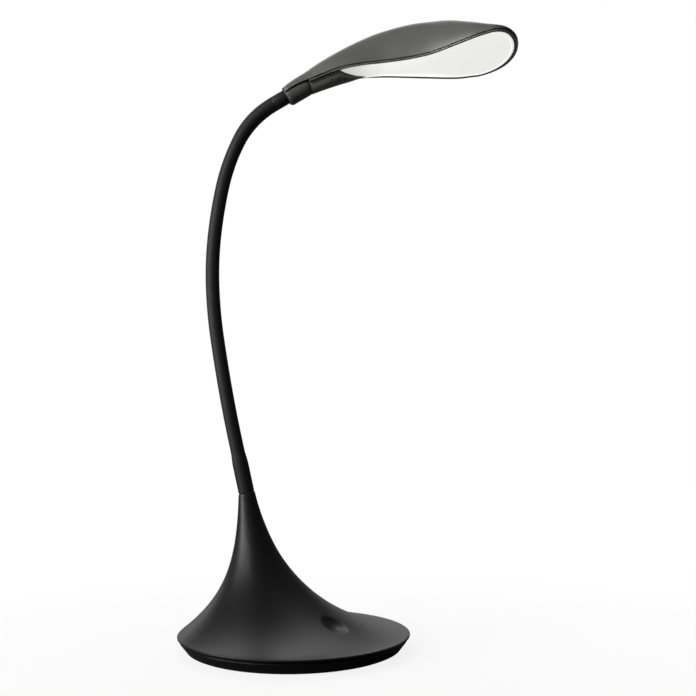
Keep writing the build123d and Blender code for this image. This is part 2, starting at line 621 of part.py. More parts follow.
def make_lower_ferrule():
    """The ferrule that carries the neck, its washer and its nut."""
    stem = SOLID_STEM + WASHER_THICKNESS + NUT_THICKNESS + 2.0
    ferrule = rod(FERRULE_STEM_RADIUS, on_stem(FIT / 2), on_stem(-stem))
    ferrule = ferrule + rod(GRIP_RADIUS, on_stem(0), on_stem(FERRULE_GRIP))
    ferrule = ferrule - rod(HOSE_RADIUS + FIT, on_stem(1.0 - FIT), on_stem(FERRULE_GRIP + 1))
    keep("lower_ferrule", ferrule - rod(HOSE_BORE + SLIP, on_stem(-stem - 1), on_stem(2)))
    down = -STEM_AXIS
    seat = Plane(on_stem(-SOLID_STEM - SHELL_WALL), z_dir=down)
    washer = extrude(seat * (Circle(WASHER_RADIUS) - Circle(FERRULE_STEM_RADIUS + FIT)), WASHER_THICKNESS)
    keep("ferrule_washer", washer)
    nut_seat = Plane(seat.origin + down * WASHER_THICKNESS, z_dir=down)
    keep("ferrule_nut", make_nut(nut_seat, NUT_FLATS, FERRULE_STEM_RADIUS))


def make_lamp_lead():
    """The lead from the board up to the foot of the neck's cable."""
    x = BOARD_X - BOARD_LENGTH / 2 + 9.0 - 3.0
    y = BOARD_Y + 4.5
    z = BOARD_TOP + 2.5
    low = on_stem(-SOLID_STEM - 30)
    points = [(x, y, z), (x - 6, y, z), (low.X, y / 2, z + 10), tuple(low), tuple(on_stem(0))]
    keep("lamp_lead", wire_lead(points, CABLE_RADIUS, 4.0))


# ---- head -----------------------------------------------------------------------
def head_place():
    """Where the head's mouth sits: at the top of the ferrule on the neck's end."""
    top = along_link(len(LINK_TURNS) - 1, LINK_LENGTH)
    mouth = top.origin + top.z_dir * UPPER_FERRULE_VISIBLE
    climb = math.degrees(math.atan2(top.z_dir.Z, top.z_dir.X))
    return Location(tuple(mouth), (0, MOUTH_LEAN - climb, 0))


HEAD = head_place()


def keep_head(name, shape):
    """Store a piece that was drawn from the centre of the head's mouth."""
    keep(name, HEAD * shape)


def head_plane(x, lift=0.0):
    """Plane across the head at x: its x runs to the side, its y towards the crown."""
    lean = math.radians(MOUTH_LEAN * max(0.0, 1 - x / LEAN_FADE))
    across = Vector(math.cos(lean), 0, math.sin(lean))
    up = Vector(-math.sin(lean), 0, math.cos(lean))
    return Plane(Vector(x, 0, smooth(EDGE_LINE, x)) + up * lift, x_dir=(0, 1, 0), z_dir=across)


def head_stations(start, inset, gap=0.0):
    """Places and half widths of the sections from start to the rounded tip."""
    steps = round((WIDEST_AT - start) / HEAD_STATION)
    stops = [start + (WIDEST_AT - start) * k / steps for k in range(steps + 1)]
    rows = [(x, smooth(WIDTH_LINE, x) - inset) for x in stops]
    nose = HEAD_LENGTH - inset - gap - WIDEST_AT
    for angle in (22, 42, 58, 70, 79, 86):
        turn = math.radians(angle)
        rows.append((WIDEST_AT + nose * math.sin(turn), (HEAD_HALF_WIDTH - inset) * math.cos(turn)))
    return rows


def arch(half_width, base, rise):
    """Half of an oval over a level line, from one side to the other."""
    start = 0 if rise > 0 else 180
    return EllipticalCenterArc((0, base), half_width, abs(rise), start_angle=start, arc_size=180)


def section(x, half_width, bottom, top, crown=0.0, belly=0.0):
    """One cross-section of the head, from bottom to top of the edge line."""
    right = Line((half_width, bottom), (half_width, top))
    left = Line((-half_width, top), (-half_width, bottom))
    over = arch(half_width, top, crown) if crown else Line(right @ 1, left @ 0)
    under = arch(half_width, bottom, -belly) if belly else Line(right @ 0, left @ 1)
    return head_plane(x) * make_face([right, over, left, under])


def head_band(start, inset, bottom, top, crown=None, belly=None):
    """A solid that follows the head's outline between two levels."""
    sections = []
    for x, half_width in head_stations(start, inset):
        rise = max(crown(x), 0.3) if crown else 0.0
        sag = max(belly(x, half_width), 0.15) if belly else 0.0
        sections.append(section(x, half_width, bottom, top, rise, sag))
    return loft(sections)


def upright_on_head(x, lift):
    """Place over the head's centre line, its z square to the edge line."""
    climb = math.atan2(smooth(EDGE_LINE, x + 1) - smooth(EDGE_LINE, x - 1), 2)
    base = Vector(x, 0, smooth(EDGE_LINE, x))
    up = Vector(-math.sin(climb), 0, math.cos(climb))
    return Plane(base + up * lift, x_dir=(0, 1, 0), z_dir=up)


def crown_over(wall):
    """Height of the crown over the edge band, less a wall."""
    return lambda x: smooth(CROWN_LINE, x) - EDGE_BAND - wall


def make_head_shell():
    """The arched top of the head."""
    outside = head_band(0.0, 0.0, 0.0, EDGE_BAND, crown_over(0.0))
    inside = head_band(-1.5, HEAD_WALL, -2.0, EDGE_BAND, crown_over(HEAD_WALL))
    shell = outside - inside
    for x in HEAD_SCREW_SPOTS:
        boss = extrude(upright_on_head(x, PLATE_TOP + FIT) * Circle(HEAD_BOSS_RADIUS), 60)
        shell = shell + (boss & outside)
        pilot = extrude(upright_on_head(x, PLATE_TOP) * Circle(HEAD_SCREW_RADIUS + FIT / 2),
                        HEAD_SCREW_LENGTH)
        shell = shell - pilot
    shell = shell - socket_blank(SLIP)
    keep_head("head_shell", shell)


def mouth_axis(distance):
    """The point this far inside the mouth, along the neck's last axis."""
    lean = math.radians(MOUTH_LEAN)
    return Vector(math.cos(lean), 0, math.sin(lean)) * distance


def socket_blank(grow=0.0):
    """The rounded boss that the neck enters, without its bores."""
    lean = math.radians(MOUTH_LEAN)
    drop = Vector(math.sin(lean), 0, -math.cos(lean)) * SOCKET_DROP
    barrel = rod(SOCKET_RADIUS + grow, mouth_axis(0) + drop, mouth_axis(SOCKET_LENGTH) + drop)
    rims = barrel.edges().filter_by(GeomType.CIRCLE).sort_by(Axis.X)
    barrel = fillet(rims[-1], SOCKET_DOME)
    if grow:
        return barrel
    rims = barrel.edges().filter_by(GeomType.CIRCLE).sort_by(Axis.X)
    return fillet(rims[0], SOCKET_ROUND)


def make_neck_socket():
    """The boss with a seat for the ferrule and a bore for its stem."""
    socket = socket_blank()
    seat = SOCKET_SEAT
    socket = socket - rod(UPPER_FERRULE_RADIUS + FIT, mouth_axis(-1), mouth_axis(seat))
    socket = socket - rod(UPPER_STEM_RADIUS + FIT, mouth_axis(0), mouth_axis(SOCKET_LENGTH + 1))
    keep_head("neck_socket", socket)
    stem = SOCKET_LENGTH + NUT_THICKNESS + NUT_TAIL
    ferrule = rod(UPPER_FERRULE_RADIUS, mouth_axis(FIT - UPPER_FERRULE_VISIBLE), mouth_axis(seat - FIT))
    ferrule = ferrule + rod(UPPER_STEM_RADIUS, mouth_axis(0), mouth_axis(stem))
    grip = UPPER_FERRULE_GRIP - UPPER_FERRULE_VISIBLE
    ferrule = ferrule - rod(HOSE_RADIUS + FIT, mouth_axis(-UPPER_FERRULE_VISIBLE - 1), mouth_axis(grip))
    ferrule = ferrule - rod(HOSE_BORE, mouth_axis(-UPPER_FERRULE_VISIBLE), mouth_axis(stem + 1))
    keep_head("upper_ferrule", ferrule)
    lean = math.radians(MOUTH_LEAN)
    seat_plane = Plane(mouth_axis(SOCKET_LENGTH + FIT), x_dir=(-math.sin(lean), 0, math.cos(lean)),
                       z_dir=mouth_axis(1))
    keep_head("socket_nut", make_nut(seat_plane, SOCKET_NUT_FLATS, UPPER_STEM_RADIUS))


def tongue_outline(gap=0.0):
    """Plan of the cover, from behind the mouth to the tip of its tongue."""
    side = HEAD_HALF_WIDTH
    edge = [(x + gap, y) for x, y in TONGUE] + [(TONGUE_TIP + gap, 0)] + [
        (x + gap, -y) for x, y in reversed(TONGUE)]
    point = Spline(*edge)
    rest = Polyline(point @ 1, (TONGUE[0][0] + gap, -side), (-side, -side), (-side, side),
                    (TONGUE[0][0] + gap, side), point @ 0)
    return extrude(Pos(0, 0, -side) * make_face([point, rest]), 4 * side)


def make_lower_cover():
    """The dark underside of the head's neck, with its tongue and vents."""
    end = TONGUE_TIP + COVER_WALL
    steps = round((end - COVER_START / 2) / COVER_STATION)
    stops = [COVER_START / 2 + (end - COVER_START / 2) * k / steps for k in range(steps + 1)]

    def band(inset, thin, top):
        rows = [section(x, smooth(WIDTH_LINE, x) - COVER_INSET - inset, -0.2, top,
                        belly=smooth(KEEL_LINE, x) - thin - 0.2) for x in stops]
        return loft(rows)

    cover = band(0.0, 0.0, -0.1) - band(COVER_WALL, COVER_WALL, 2.0)
    cover = cover & tongue_outline()
    behind = extrude(Plane(mouth_axis(COVER_START), z_dir=mouth_axis(-1)) * Rectangle(80, 80), 60)
    cover = cover - behind - socket_blank(SLIP)
    for row in range(VENT_ROWS):
        back = 4.5 + row * VENT_PITCH
        for k in range(1 + row % 2, 7, 2):
            for sign in (1, -1):
                y = sign * k * VENT_PITCH / 2
                x = smooth([(yy, xx) for xx, yy in [(TONGUE_TIP, 0.0)] + TONGUE[::-1]], abs(y)) - back
                cover = cover - upright(VENT_RADIUS, x, y, -5, 30)
    keep_head("lower_cover", cover.solids().sort_by(SortBy.VOLUME)[-1])


def make_head_trim():
    """The thin ring round the diffuser, with the upstand that carries the plate."""
    flange = head_band(TRIM_START, FIT, TRIM_BOTTOM, TRIM_BOTTOM + TRIM_FLANGE)
    upstand = head_band(TRIM_START, TRIM_WIDTH - TRIM_UPSTAND_WALL, TRIM_BOTTOM, TRIM_UPSTAND_TOP)
    opening = head_band(TRIM_START - 3, TRIM_WIDTH, TRIM_BOTTOM - 1, TRIM_UPSTAND_TOP + 1)
    keep_head("head_trim", flange + upstand - opening - socket_blank(SLIP))


def make_diffuser():
    """The white panel under the head, slightly bellied."""
    start = TONGUE[0][0] - 1
    edge = TRIM_WIDTH + DIFFUSER_SEAM
    third = HEAD_HALF_WIDTH / 3
    top = DIFFUSER_BOTTOM + DIFFUSER_THICKNESS

    def belly(thin):
        def depth(x, half):
            fade = min(1.0, max(0.0, (x - TONGUE_TIP) / DIFFUSER_FADE))
            extra = (DIFFUSER_REAR_BELLY - DIFFUSER_BELLY) * (1 - fade * fade * (3 - 2 * fade))
            return (DIFFUSER_BELLY + extra) * min(1.0, half / third) - thin
        return depth

    panel = head_band(start, edge, DIFFUSER_BOTTOM, top, belly=belly(0.0))
    hollow = head_band(start + DIFFUSER_BORDER, edge + DIFFUSER_BORDER, DIFFUSER_BOTTOM + 0.2, top + 1,
                       belly=belly(DIFFUSER_THICKNESS - 0.3))
    panel = panel - (hollow - tongue_outline(DIFFUSER_BORDER + SLIP))
    keep_head("diffuser", panel - tongue_outline(SLIP))


def make_light_parts():
    """Light guide, reflector, heat plate, LED strip and LEDs."""
    guide = head_band(GUIDE_START, GUIDE_INSET, GUIDE_BOTTOM, GUIDE_TOP)
    keep_head("light_guide", guide)
    keep_head("reflector_sheet", head_band(GUIDE_START, GUIDE_INSET, REFLECTOR_BOTTOM, REFLECTOR_TOP))
    plate = head_band(PLATE_START, PLATE_INSET, PLATE_BOTTOM, PLATE_TOP)
    plate = plate & block(0, PLATE_END, -HEAD_HALF_WIDTH, HEAD_HALF_WIDTH, 0, HEAD_HALF_WIDTH * 2)
    screws = []
    head = HEAD_SCREW_HEAD_THICKNESS
    screw = make_screw(HEAD_SCREW_RADIUS, HEAD_SCREW_HEAD, head, HEAD_SCREW_LENGTH)
    for x in HEAD_SCREW_SPOTS:
        hole = upright_on_head(x, REFLECTOR_TOP) * Circle(HEAD_SCREW_RADIUS + SLIP)
        plate = plate - extrude(hole, HEAD_SCREW_LENGTH)
        screws.append(HEAD * upright_on_head(x, PLATE_BOTTOM - head - FIT).location * screw)
    keep_head("heat_plate", plate)
    keep("head_screws", Compound(children=screws))
    outer = head_band(WIDEST_AT - 2 * HEAD_STATION, LED_BOARD_INSET, GUIDE_BOTTOM, LED_BOARD_TOP)
    inner = head_band(WIDEST_AT - 3 * HEAD_STATION, LED_BOARD_INSET + LED_BOARD_THICKNESS,
                      GUIDE_BOTTOM - 1, LED_BOARD_TOP + 1)
    keep_head("led_board", (outer - inner) & led_sector())
    make_leds()


def led_sector():
    """A wedge round the tip that holds the LED strip."""
    reach = 2 * HEAD_HALF_WIDTH
    half = math.radians(LED_ARC + 4)
    fan = make_face(Polyline((0, 0), (reach * math.cos(half), reach * math.sin(half)), (reach, reach),
                             (2 * reach, 0), (reach, -reach),
                             (reach * math.cos(half), -reach * math.sin(half)), close=True))
    return extrude(Pos(WIDEST_AT, 0, -20) * fan, 100)


def make_leds():
    """The LEDs along the inside of the strip."""
    leds = []
    inset = LED_BOARD_INSET + LED_BOARD_THICKNESS + LED_DEPTH / 2 + FIT * 1.5
    nose = HEAD_LENGTH - inset - WIDEST_AT
    side = HEAD_HALF_WIDTH - inset
    for k in range(LED_COUNT):
        angle = math.radians(LED_ARC * (2 * k / (LED_COUNT - 1) - 1))
        x = WIDEST_AT + nose * math.cos(angle)
        y = side * math.sin(angle)
        facing = math.degrees(math.atan2(math.sin(angle) / side, math.cos(angle) / nose))
        z = smooth(EDGE_LINE, x) + (GUIDE_BOTTOM + GUIDE_TOP) / 2
        leds.append(HEAD * Pos(x, y, z) * Rot(0, 0, facing) * Box(LED_DEPTH, LED_WIDTH, 1.6))
    keep("led_packages", Compound(children=leds))


def make_head_lead():
    """The lead from the neck's cable over the heat plate to the end of the LED strip."""
    stem = SOCKET_LENGTH + NUT_THICKNESS + NUT_TAIL
    start = mouth_axis(stem + FIT)
    high = PLATE_TOP + HEAD_LEAD_RADIUS + FIT * 6
    low = LED_BOARD_TOP + HEAD_LEAD_RADIUS + FIT
    turn = math.radians(LED_ARC + 2)
    inset = LED_BOARD_INSET + LED_BOARD_THICKNESS
    end_x = WIDEST_AT + (HEAD_LENGTH - WIDEST_AT - inset) * math.cos(turn)
    end_y = (HEAD_HALF_WIDTH - inset) * math.sin(turn)

    def over(x, y, lift):
        return (x, y, smooth(EDGE_LINE, x) + lift)

    side = HEAD_LEAD_SIDE
    first = PLATE_START + HEAD_LEAD_FALL
    last = PLATE_END - 1.0
    steps = 6
    points = [tuple(start), tuple(mouth_axis(stem + HEAD_LEAD_FALL / 2 - NUT_TAIL)),
              over(PLATE_START + NUT_TAIL, side / 2, high + 2)]
    points += [over(first + (last - first) * k / steps, side, high) for k in range(steps + 1)]
    points += [over(PLATE_END + 3.5, side + 3, low), over(end_x - 0.5, end_y - 3, low),
               over(end_x, end_y, low)]
    keep_head("head_lead", wire_lead(points, HEAD_LEAD_RADIUS, 1.2))


def main():
    """Build every sub-part and write it."""
    make_base_shell()
    make_base_pan()
    make_foot_pad()
    make_ballast()
    make_pan_screws()
    make_board()
    make_board_parts()
    make_touch_parts()
    make_inlet()
    make_neck()
    make_lower_ferrule()
    make_lamp_lead()
    make_head_shell()
    make_neck_socket()
    make_lower_cover()
    make_head_trim()
    make_diffuser()
    make_light_parts()
    make_head_lead()
    os.makedirs("parts", exist_ok=True)
    for name, shape in nodes.items():
        export_step(shape, f"parts/{name}.step")


if __name__ == "__main__":
    main()
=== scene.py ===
"""Gooseneck desk lamp: the dressed model, built round the CAD frame."""

from __future__ import annotations

import json
import logging
import math
from collections import Counter
from collections.abc import Callable
from dataclasses import dataclass
from enum import Enum

import bpy
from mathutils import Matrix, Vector


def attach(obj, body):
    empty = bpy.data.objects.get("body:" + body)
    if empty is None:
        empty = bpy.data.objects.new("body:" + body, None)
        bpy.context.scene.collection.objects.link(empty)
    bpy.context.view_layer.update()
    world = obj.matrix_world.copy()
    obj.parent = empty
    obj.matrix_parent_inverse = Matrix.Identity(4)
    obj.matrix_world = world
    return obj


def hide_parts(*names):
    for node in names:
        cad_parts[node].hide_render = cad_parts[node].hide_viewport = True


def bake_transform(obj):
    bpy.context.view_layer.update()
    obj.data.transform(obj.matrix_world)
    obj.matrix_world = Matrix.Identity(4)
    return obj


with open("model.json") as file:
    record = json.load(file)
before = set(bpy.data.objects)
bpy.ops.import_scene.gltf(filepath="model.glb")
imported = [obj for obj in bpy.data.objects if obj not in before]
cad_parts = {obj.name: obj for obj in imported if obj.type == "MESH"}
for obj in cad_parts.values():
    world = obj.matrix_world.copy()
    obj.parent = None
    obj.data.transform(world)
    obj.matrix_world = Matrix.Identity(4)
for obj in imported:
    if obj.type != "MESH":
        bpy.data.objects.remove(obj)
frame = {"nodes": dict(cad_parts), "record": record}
LOG = logging.getLogger("desk_lamp")
MM = 0.001
Point = tuple[float, float, float]
Line = tuple[tuple[float, float], ...]
MERGE = 0.004 * MM          # vertices nearer than this become one
SMOOTH_ANGLE = 35.0         # edges sharper than this stay sharp, in degrees
BUMP_DEPTH = 0.2 * MM
BROAD_SCALE = 48.0          # of the pattern that varies a finish's colour, per metre
ROUGHNESS_SWING = 0.04
COAT_ROUGHNESS = 0.25
# Colour of every glow; on the diffuser the glow is painted light.
GLOW_COLOUR = (1.0, 1.0, 0.99, 1.0)
# Where the cross sections lie round the head's tip, in degrees from its widest place.
TIP_ANGLES = (8, 16, 24, 32, 40, 47, 54, 60, 66, 71, 76, 80, 83.5, 86.5, 88.5)


# ---- finishes --------------------------------------------------------------------
class Grain(Enum):
    """The kinds of surface that the lamp has: texture, scale per metre, stretch."""

    MOULDED = ("noise", 2600.0, (1.0, 1.0, 1.0))
    SATIN = ("noise", 3800.0, (1.0, 1.0, 1.0))
    RUBBER = ("noise", 1500.0, (1.0, 1.0, 1.0))
    FOAM = ("voronoi", 900.0, (1.0, 1.0, 1.0))
    BRUSHED = ("noise", 700.0, (0.05, 1.0, 1.0))
    PLATED = ("noise", 1200.0, (1.0, 1.0, 1.0))
    OPAL = ("noise", 5000.0, (1.0, 1.0, 1.0))
    BOARD = ("voronoi", 420.0, (1.0, 1.0, 1.0))


@dataclass(frozen=True)
class Finish:
    """One finish: a colour and the grain that breaks it up.

    The fade is painted shade on the glow: where it starts and stops rising along x, in metres, and its share
    at the start, so the panel is darker at its end nearer the neck.
    """

    name: str
    colour: Point
    grain: Grain
    roughness: float
    metallic: float = 0.0
    tint: float = 0.1
    bump: float = 0.05
    coat: float = 0.0
    glow: float = 0.0
    clear: float = 0.0
    fade: Point = (0.0, 0.0, 1.0)
    shine: float = 0.5

    def material(self) -> bpy.types.Material:
        """Return the finish as a node material, made on first use."""
        found = bpy.data.materials.get(f"finish_{self.name}")
        if found:
            return found
        made = bpy.data.materials.new(f"finish_{self.name}")
        made.use_nodes = True
        tree = made.node_tree
        shader = tree.nodes["Principled BSDF"]
        constants = {"Metallic": self.metallic, "Coat Weight": self.coat,
                     "Coat Roughness": COAT_ROUGHNESS, "Transmission Weight": self.clear,
                     "Specular IOR Level": self.shine, "Emission Strength": self.glow}
        for socket, value in constants.items():
            shader.inputs[socket].default_value = value
        shader.inputs["Emission Color"].default_value = GLOW_COLOUR
        kind, scale, stretch = self.grain.value
        coords = tree.nodes.new("ShaderNodeTexCoord")
        mapping = tree.nodes.new("ShaderNodeMapping")
        mapping.inputs["Scale"].default_value = stretch
        tree.links.new(coords.outputs["Object"], mapping.inputs["Vector"])
        # The fade paints shade onto the glow, darker towards the panel's end nearer the neck.
        if self.fade[2] < 1.0:
            self.paint_shade_on_glow(tree, shader, coords.outputs["Object"])
        broad = self.texture(tree, mapping, "noise", BROAD_SCALE)
        fine = self.texture(tree, mapping, kind, scale)
        self.vary_colour(tree, shader, broad)
        self.vary_roughness(tree, shader, fine)
        bump = tree.nodes.new("ShaderNodeBump")
        bump.inputs["Strength"].default_value = self.bump
        bump.inputs["Distance"].default_value = BUMP_DEPTH
        tree.links.new(fine, bump.inputs["Height"])
        tree.links.new(bump.outputs["Normal"], shader.inputs["Normal"])
        return made

    @staticmethod
    def texture(tree: bpy.types.NodeTree, mapping: bpy.types.Node, kind: str,
                scale: float) -> bpy.types.NodeSocket:
        """Add a noise or cell texture and return its value."""
        voronoi = kind == "voronoi"
        made = tree.nodes.new("ShaderNodeTexVoronoi" if voronoi else "ShaderNodeTexNoise")
        made.inputs["Scale"].default_value = scale
        tree.links.new(mapping.outputs["Vector"], made.inputs["Vector"])
        return made.outputs["Distance" if voronoi else "Fac"]

    def paint_shade_on_glow(self, tree: bpy.types.NodeTree, shader: bpy.types.Node,
                  place: bpy.types.NodeSocket) -> None:
        """Paint shade on the glow: let it rise along x from its share at the near end to full."""
        axes = tree.nodes.new("ShaderNodeSeparateXYZ")
        tree.links.new(place, axes.inputs["Vector"])
        span = tree.nodes.new("ShaderNodeMapRange")
        span.interpolation_type = "SMOOTHSTEP"
        span.inputs["From Min"].default_value, span.inputs["From Max"].default_value = self.fade[:2]
        tree.links.new(axes.outputs["X"], span.inputs["Value"])
        ramp = tree.nodes.new("ShaderNodeValToRGB")
        low = self.fade[2]
        ramp.color_ramp.elements[0].color = (low, low, low, 1.0)
        ramp.color_ramp.elements[1].color = GLOW_COLOUR
        tree.links.new(span.outputs["Result"], ramp.inputs["Fac"])
        tree.links.new(ramp.outputs["Color"], shader.inputs["Emission Color"])

    def vary_colour(self, tree: bpy.types.NodeTree, shader: bpy.types.Node,
                    pattern: bpy.types.NodeSocket) -> None:
        """Vary the colour a little with the pattern."""
        ramp = tree.nodes.new("ShaderNodeValToRGB")
        low, high = ramp.color_ramp.elements
        low.position, high.position = 0.3, 0.7
        low.color = (*(c * (1 - self.tint) for c in self.colour), 1.0)
        high.color = (*(min(1.0, c * (1 + self.tint)) for c in self.colour), 1.0)
        tree.links.new(pattern, ramp.inputs["Fac"])
        tree.links.new(ramp.outputs["Color"], shader.inputs["Base Color"])

    def vary_roughness(self, tree: bpy.types.NodeTree, shader: bpy.types.Node,
                       pattern: bpy.types.NodeSocket) -> None:
        """Vary the roughness a little with the pattern."""
        span = tree.nodes.new("ShaderNodeMapRange")
        span.inputs["To Min"].default_value = self.roughness - ROUGHNESS_SWING
        span.inputs["To Max"].default_value = self.roughness + ROUGHNESS_SWING
        tree.links.new(pattern, span.inputs["Value"])
        tree.links.new(span.outputs["Result"], shader.inputs["Roughness"])


STEEL = (0.55, 0.55, 0.54)
FINISHES = {row.name: row for row in (
    Finish("base_black", (0.015, 0.015, 0.0147), Grain.MOULDED, 0.42, shine=0.45),
    # pan_black is also the painted shade along the trim's inner edge.
    Finish("pan_black", (0.006, 0.006, 0.006), Grain.MOULDED, 0.34, shine=0.4),
    Finish("pad_rubber", (0.02, 0.02, 0.02), Grain.FOAM, 0.85, bump=0.5),
    Finish("ballast_steel", (0.33, 0.33, 0.34), Grain.BRUSHED, 0.5, metallic=1.0),
    Finish("fixing_steel", STEEL, Grain.PLATED, 0.3, metallic=1.0),
    Finish("board_green", (0.02, 0.12, 0.05), Grain.BOARD, 0.4, coat=0.3),
    Finish("chip_black", (0.02, 0.02, 0.022), Grain.MOULDED, 0.5),
    Finish("can_aluminium", (0.75, 0.75, 0.76), Grain.BRUSHED, 0.35, metallic=1.0),
    Finish("connector_white", (0.8, 0.79, 0.75), Grain.MOULDED, 0.45),
    Finish("touch_brass", (0.72, 0.52, 0.25), Grain.PLATED, 0.3, metallic=1.0),
    Finish("sleeve_rubber", (0.016, 0.016, 0.0155), Grain.RUBBER, 0.6, bump=0.006, shine=0.4),
    Finish("hose_steel", STEEL, Grain.BRUSHED, 0.35, metallic=1.0),
    Finish("lead_jacket", (0.03, 0.03, 0.03), Grain.RUBBER, 0.5),
    Finish("collar_black", (0.085, 0.086, 0.081), Grain.MOULDED, 0.5, bump=0.02, shine=0.4),
    # The cover's grey is partly its own, like the shell's, and partly painted light for the floor's bounce
    # under the head.
    Finish("cover_black", (0.15, 0.154, 0.146), Grain.MOULDED, 0.45),
    Finish("shell_grey", (0.13, 0.134, 0.125), Grain.SATIN, 0.42, bump=0.012, shine=0.45),
    # The trim's grey is lighter than the shell's: painted highlight standing in for the lit band along the
    # rim.
    Finish("trim_grey", (0.24, 0.245, 0.235), Grain.SATIN, 0.36),
    # The diffuser's glow is painted light: emission set so the panel reads white, standing in for the light
    # that falls on it.
    Finish("diffuser_white", (0.86, 0.86, 0.855), Grain.OPAL, 0.3, tint=0.01, bump=0.01, glow=0.76,
           fade=(0.034, 0.066, 0.66)),
    Finish("guide_clear", (0.95, 0.96, 0.96), Grain.OPAL, 0.1, tint=0.01, clear=0.9, bump=0.01),
    Finish("led_strip_white", (0.85, 0.85, 0.83), Grain.BOARD, 0.5, bump=0.01),
    Finish("led_yellow", (0.85, 0.68, 0.15), Grain.OPAL, 0.4, glow=0.2),
)}


def dress(piece: bpy.types.Object, slot: str, finish: str = "") -> bpy.types.Object:
    """Give the piece the finish, or the slot's finish when none is named, and return it."""
    piece.data.materials.clear()
    piece.data.materials.append(FINISHES[finish or slot].material())
    return piece


def report(piece: bpy.types.Object) -> None:
    """Log the piece and its number of vertices."""
    LOG.info("built %s with %d vertices", piece.name, len(piece.data.vertices))


# ---- modelling -------------------------------------------------------------------
@dataclass(frozen=True)
class Ring:
    """A ring in millimetres, square to an axis that leans this far from upright."""

    x: float
    z: float
    radius: float
    lean: float = 0.0
    y: float = 0.0

    def centre(self) -> Vector:
        """Return the centre in metres."""
        return Vector((self.x, self.y, self.z)) * MM


def turn(degrees: float, centre: Vector) -> None:
    """Turn what is selected about +Y, by the right hand."""
    if abs(degrees) > 1e-9:
        bpy.ops.transform.rotate(value=-math.radians(degrees), orient_axis="Y", center_override=centre)


def grow(name: str, rings: list[Ring], sides: int, angle: float = SMOOTH_ANGLE) -> bpy.types.Object:
    """Extrude a circle from ring to ring and close what stays open.

    Args:
        name: Name of the new piece.
        rings: The rings in order; a last ring on the first closes a tube.
        sides: Corners of each ring.
        angle: Edges sharper than this stay sharp.

    Returns:
        The piece, in object mode.
    """
    bpy.ops.object.select_all(action="DESELECT")
    last = rings[0]
    bpy.ops.mesh.primitive_circle_add(vertices=sides, radius=last.radius * MM)
    piece = bpy.context.object
    piece.name = name
    bpy.ops.object.mode_set(mode="EDIT")
    bpy.ops.mesh.select_all(action="SELECT")
    turn(last.lean, Vector())
    bpy.ops.transform.translate(value=last.centre())
    for ring in rings[1:]:
        bpy.ops.mesh.extrude_region()
        turn(ring.lean - last.lean, last.centre())
        share = ring.radius / last.radius
        bpy.ops.transform.resize(value=(share, share, share), center_override=last.centre())
        bpy.ops.transform.translate(value=ring.centre() - last.centre())
        last = ring
    close(angle)
    return piece


def close(angle: float = SMOOTH_ANGLE) -> None:
    """Merge, fill and turn outward the mesh in edit mode, and shade it."""
    bpy.ops.mesh.select_all(action="SELECT")
    bpy.ops.mesh.remove_doubles(threshold=MERGE)
    bpy.ops.mesh.fill_holes(sides=0)
    bpy.ops.mesh.select_all(action="SELECT")
    bpy.ops.mesh.normals_make_consistent(inside=False)
    bpy.ops.object.mode_set(mode="OBJECT")
    bpy.ops.object.shade_smooth_by_angle(angle=math.radians(angle))


def apply_modifier(piece: bpy.types.Object, kind: str, **settings: object) -> None:
    """Add a modifier with these settings and apply it."""
    bpy.ops.object.select_all(action="DESELECT")
    bpy.context.view_layer.objects.active = piece
    piece.select_set(True)
    made = piece.modifiers.new(kind.lower(), kind)
    for key, value in settings.items():
        setattr(made, key, value)
    bpy.ops.object.modifier_apply(modifier=made.name)


def cut(piece: bpy.types.Object, tool: bpy.types.Object) -> None:
    """Take the tool's volume out of the piece and remove the tool."""
    apply_modifier(piece, "BOOLEAN", object=tool, operation="DIFFERENCE", solver="EXACT")
    bpy.data.objects.remove(tool)


def join(piece: bpy.types.Object, others: list[bpy.types.Object]) -> None:
    """Make the others part of the piece."""
    bpy.ops.object.select_all(action="DESELECT")
    for other in [*others, piece]:
        other.select_set(True)
    bpy.context.view_layer.objects.active = piece
    bpy.ops.object.join()


def bevel_edges(piece: bpy.types.Object, width: float, angle: float, segments: int = 2) -> None:
    """Round the edges that are sharper than the angle."""
    apply_modifier(piece, "BEVEL", width=width * MM, segments=segments, limit_method="ANGLE",
                   angle_limit=math.radians(angle), use_clamp_overlap=True)
    bpy.ops.object.shade_smooth_by_angle(angle=math.radians(SMOOTH_ANGLE))


def smooth(points: Line, x: float) -> float:
    """Return the height at x of a smooth line through the points."""
    xs = [p[0] for p in points]
    ys = [p[1] for p in points]
    x = min(max(x, xs[0]), xs[-1])
    last = len(xs) - 1
    i = max(k for k in range(last) if xs[k] <= x)
    rates = [(ys[k + 1] - ys[k]) / (xs[k + 1] - xs[k]) for k in range(last)]

    def slope(k: int) -> float:
        """Return the line's slope at a point."""
        if k in (0, last):
            return rates[0] if k == 0 else rates[-1]
        before, after = xs[k] - xs[k - 1], xs[k + 1] - xs[k]
        return (rates[k - 1] * after + rates[k] * before) / (before + after)

    span = xs[i + 1] - xs[i]
    t = (x - xs[i]) / span
    rise = (3 - 2 * t) * t * t
    bend = t * (1 - t) * (slope(i) * (1 - t) - slope(i + 1) * t)
    return ys[i] * (1 - rise) + ys[i + 1] * rise + span * bend


def ease(t: float) -> float:
    """Return a soft step from 0 to 1."""
    t = min(1.0, max(0.0, t))
    return t * t * (3 - 2 * t)


